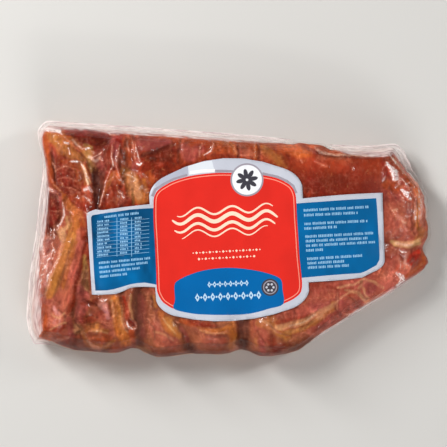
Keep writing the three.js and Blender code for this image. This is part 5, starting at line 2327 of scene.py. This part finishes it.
    def build(self, heights: Chart) -> Piece:
        """Builds the label.

        Args:
            heights: of its underside.

        Returns:
            The dressed piece.
        """
        prints = self.wings() + self.panel() + self.medallion() + self.ornaments()
        prints += self.rashers() + self.small_type()
        x, y = grid(self.loop.min(axis=0), self.loop.max(axis=0), (self.grid, self.grid))
        keep = within(drawn_in(self.loop, 0.8), x, y)
        scattered = np.stack([x[keep], y[keep]], axis=1)
        points, triangles = triangulate([self.loop] + [loop for loop, _ in prints], scattered)
        middle = points[triangles].mean(axis=1)
        colours = np.tile((*Ink.BORDER.light, 1.0), (len(triangles), 1))
        inside = within(self.loop, *middle.T)
        triangles, middle, colours = triangles[inside], middle[inside], colours[inside]
        for loop, ink in prints:
            colours[within(loop, *middle.T), :3] = ink.light
        under = heights.at(*points.T)
        count, rim = len(points), np.arange(len(self.loop))
        corners = np.vstack([np.column_stack([points, under + rise]) for rise in (self.thickness, 0)])
        faces = triangles.tolist() + (triangles[:, ::-1] + count).tolist() + band(rim, rim + count)
        paper = np.tile((*Ink.BORDER.light, 1.0), (len(triangles) + len(rim), 1))
        face_colours = np.vstack([colours, paper])
        sizes = np.array([len(face) for face in faces])
        inks = np.repeat(face_colours, sizes, axis=0)
        # painted shade on the wings
        inks[:, :3] *= self.wing_shading(corners[np.concatenate(faces)], inks)[:, None]
        piece = new_object("printed_label", corners, faces, self.finish.material())
        store(piece, "CORNER", ink=inks)
        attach(piece, "root")
        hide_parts("label")
        return piece


# ---- studio ----

@dataclass
class Studio:
    """A pale table, soft lights and the camera that looks straight down."""

    table: Triple = linear(206, 204, 200)
    view_width: float = 0.2758  # of the pack's plane that fills the frame
    camera_height: float = 4.0
    focus_height: float = 0.03
    centre: Pair = (-0.00287, 0.0093)
    sensor: float = 36.0

    def floor(self) -> None:
        """The pale table top."""
        sheet = ShaderSheet("pale_table")
        sheet.finish(sheet.principled({
            "Base Color": (*self.table, 1), "Roughness": 0.6}))
        corners = np.column_stack([3000.0 * box_loop(-1, -1, 1, 1), np.full(4, -0.2)])
        new_object("table_top", corners, [(0, 1, 2, 3)], sheet.material)

    def lamp(self, name: str, place: Triple, size: Pair, power: float, mirrored: bool) -> None:
        """Hangs a soft box that faces the pack.

        Args:
            name: its name.
            place: where it hangs.
            size: its sides.
            power: in watts.
            mirrored: whether the film mirrors it, or a polariser is before it.
        """
        light = bpy.data.lights.new(name, "AREA")
        light.shape = "RECTANGLE"
        light.size, light.size_y = size
        light.energy = power
        made = bpy.data.objects.new(name, light)
        made.location = place
        made.rotation_euler = (-Vector(place)).to_track_quat("-Z", "Y").to_euler()
        made.visible_glossy = mirrored
        bpy.context.scene.collection.objects.link(made)

    def light(self) -> None:
        """The lights: a key from the upper left, a fill, and two strips for the film's glints."""
        self.lamp("key", (-0.7, 0.45, 1.1), (0.35, 0.35), 7.0, False)
        self.lamp("fill", (0.3, -1.5, 0.95), (1.3, 1.0), 13.5, False)
        self.lamp("strip_left", (-0.75, 0.6, 0.75), (0.2, 0.6), 10.0, True)
        self.lamp("strip_right", (0.9, 0.35, 0.7), (0.12, 0.5), 3.6, True)
        self.lamp("strip_front", (0.15, -1.1, 0.65), (0.5, 0.06), 2.4, True)
        world = bpy.data.worlds.new("soft_room")
        world.use_nodes = True
        room = world.node_tree.nodes["Background"].inputs
        room["Color"].default_value = (1, 1, 1, 1)
        room["Strength"].default_value = 0.08
        bpy.context.scene.world = world

    def camera(self) -> None:
        """The camera, far off and straight above."""
        data = bpy.data.cameras.new("camera")
        data.sensor_width = self.sensor
        data.lens = self.sensor * (self.camera_height - self.focus_height) / self.view_width
        data.clip_end = 20.0
        made = bpy.data.objects.new("camera", data)
        made.location = (*self.centre, self.camera_height)
        bpy.context.scene.collection.objects.link(made)
        bpy.context.scene.camera = made

    def build(self) -> None:
        """Builds all of it."""
        self.camera()
        self.floor()
        self.light()
        bpy.context.scene.view_settings.view_transform = "Standard"


def main() -> None:
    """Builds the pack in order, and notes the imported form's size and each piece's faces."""
    logging.basicConfig(level=logging.INFO, format="%(message)s")
    Studio().build()
    form = PackForm(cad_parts["vacuum_pack"])
    label_loop = outline_of(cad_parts["label"])
    maker = ShellMaker(form, label_loop)
    log.info("form: %.1f mm long, rim %.1f to %.1f mm in", np.ptp(form.outline[:, 0]),
             form.rim_offset.min(), form.rim_offset.max())
    pork, film = Pork(form, maker), Film(form, maker)
    label = Label(sharpened(label_loop, LABEL_CORNERS))
    pork_top = pork.heights()
    film_top = film.heights(pork_top)
    label_under = label.heights(film_top)
    x, y = Chart.places()
    pressed = np.minimum(film_top.values, label_under.values - label.lift)
    pressed = np.where(within(label_loop, x, y), pressed, film_top.values)
    hidden = within(drawn_in(label_loop, maker.label_margin - 1.0), x, y).astype(float)
    film_top = Chart(pressed - label.hollow * Chart(hidden).blurred(0.8).values)
    pork_top = Chart(np.minimum(pork_top.values, film_top.values - film.gap))
    for piece in (pork.build(pork_top), film.build(film_top), film.build_seam(), label.build(label_under)):
        log.info("%s: %d faces", piece.name, len(piece.data.polygons))


if __name__ == "__main__":
    main()
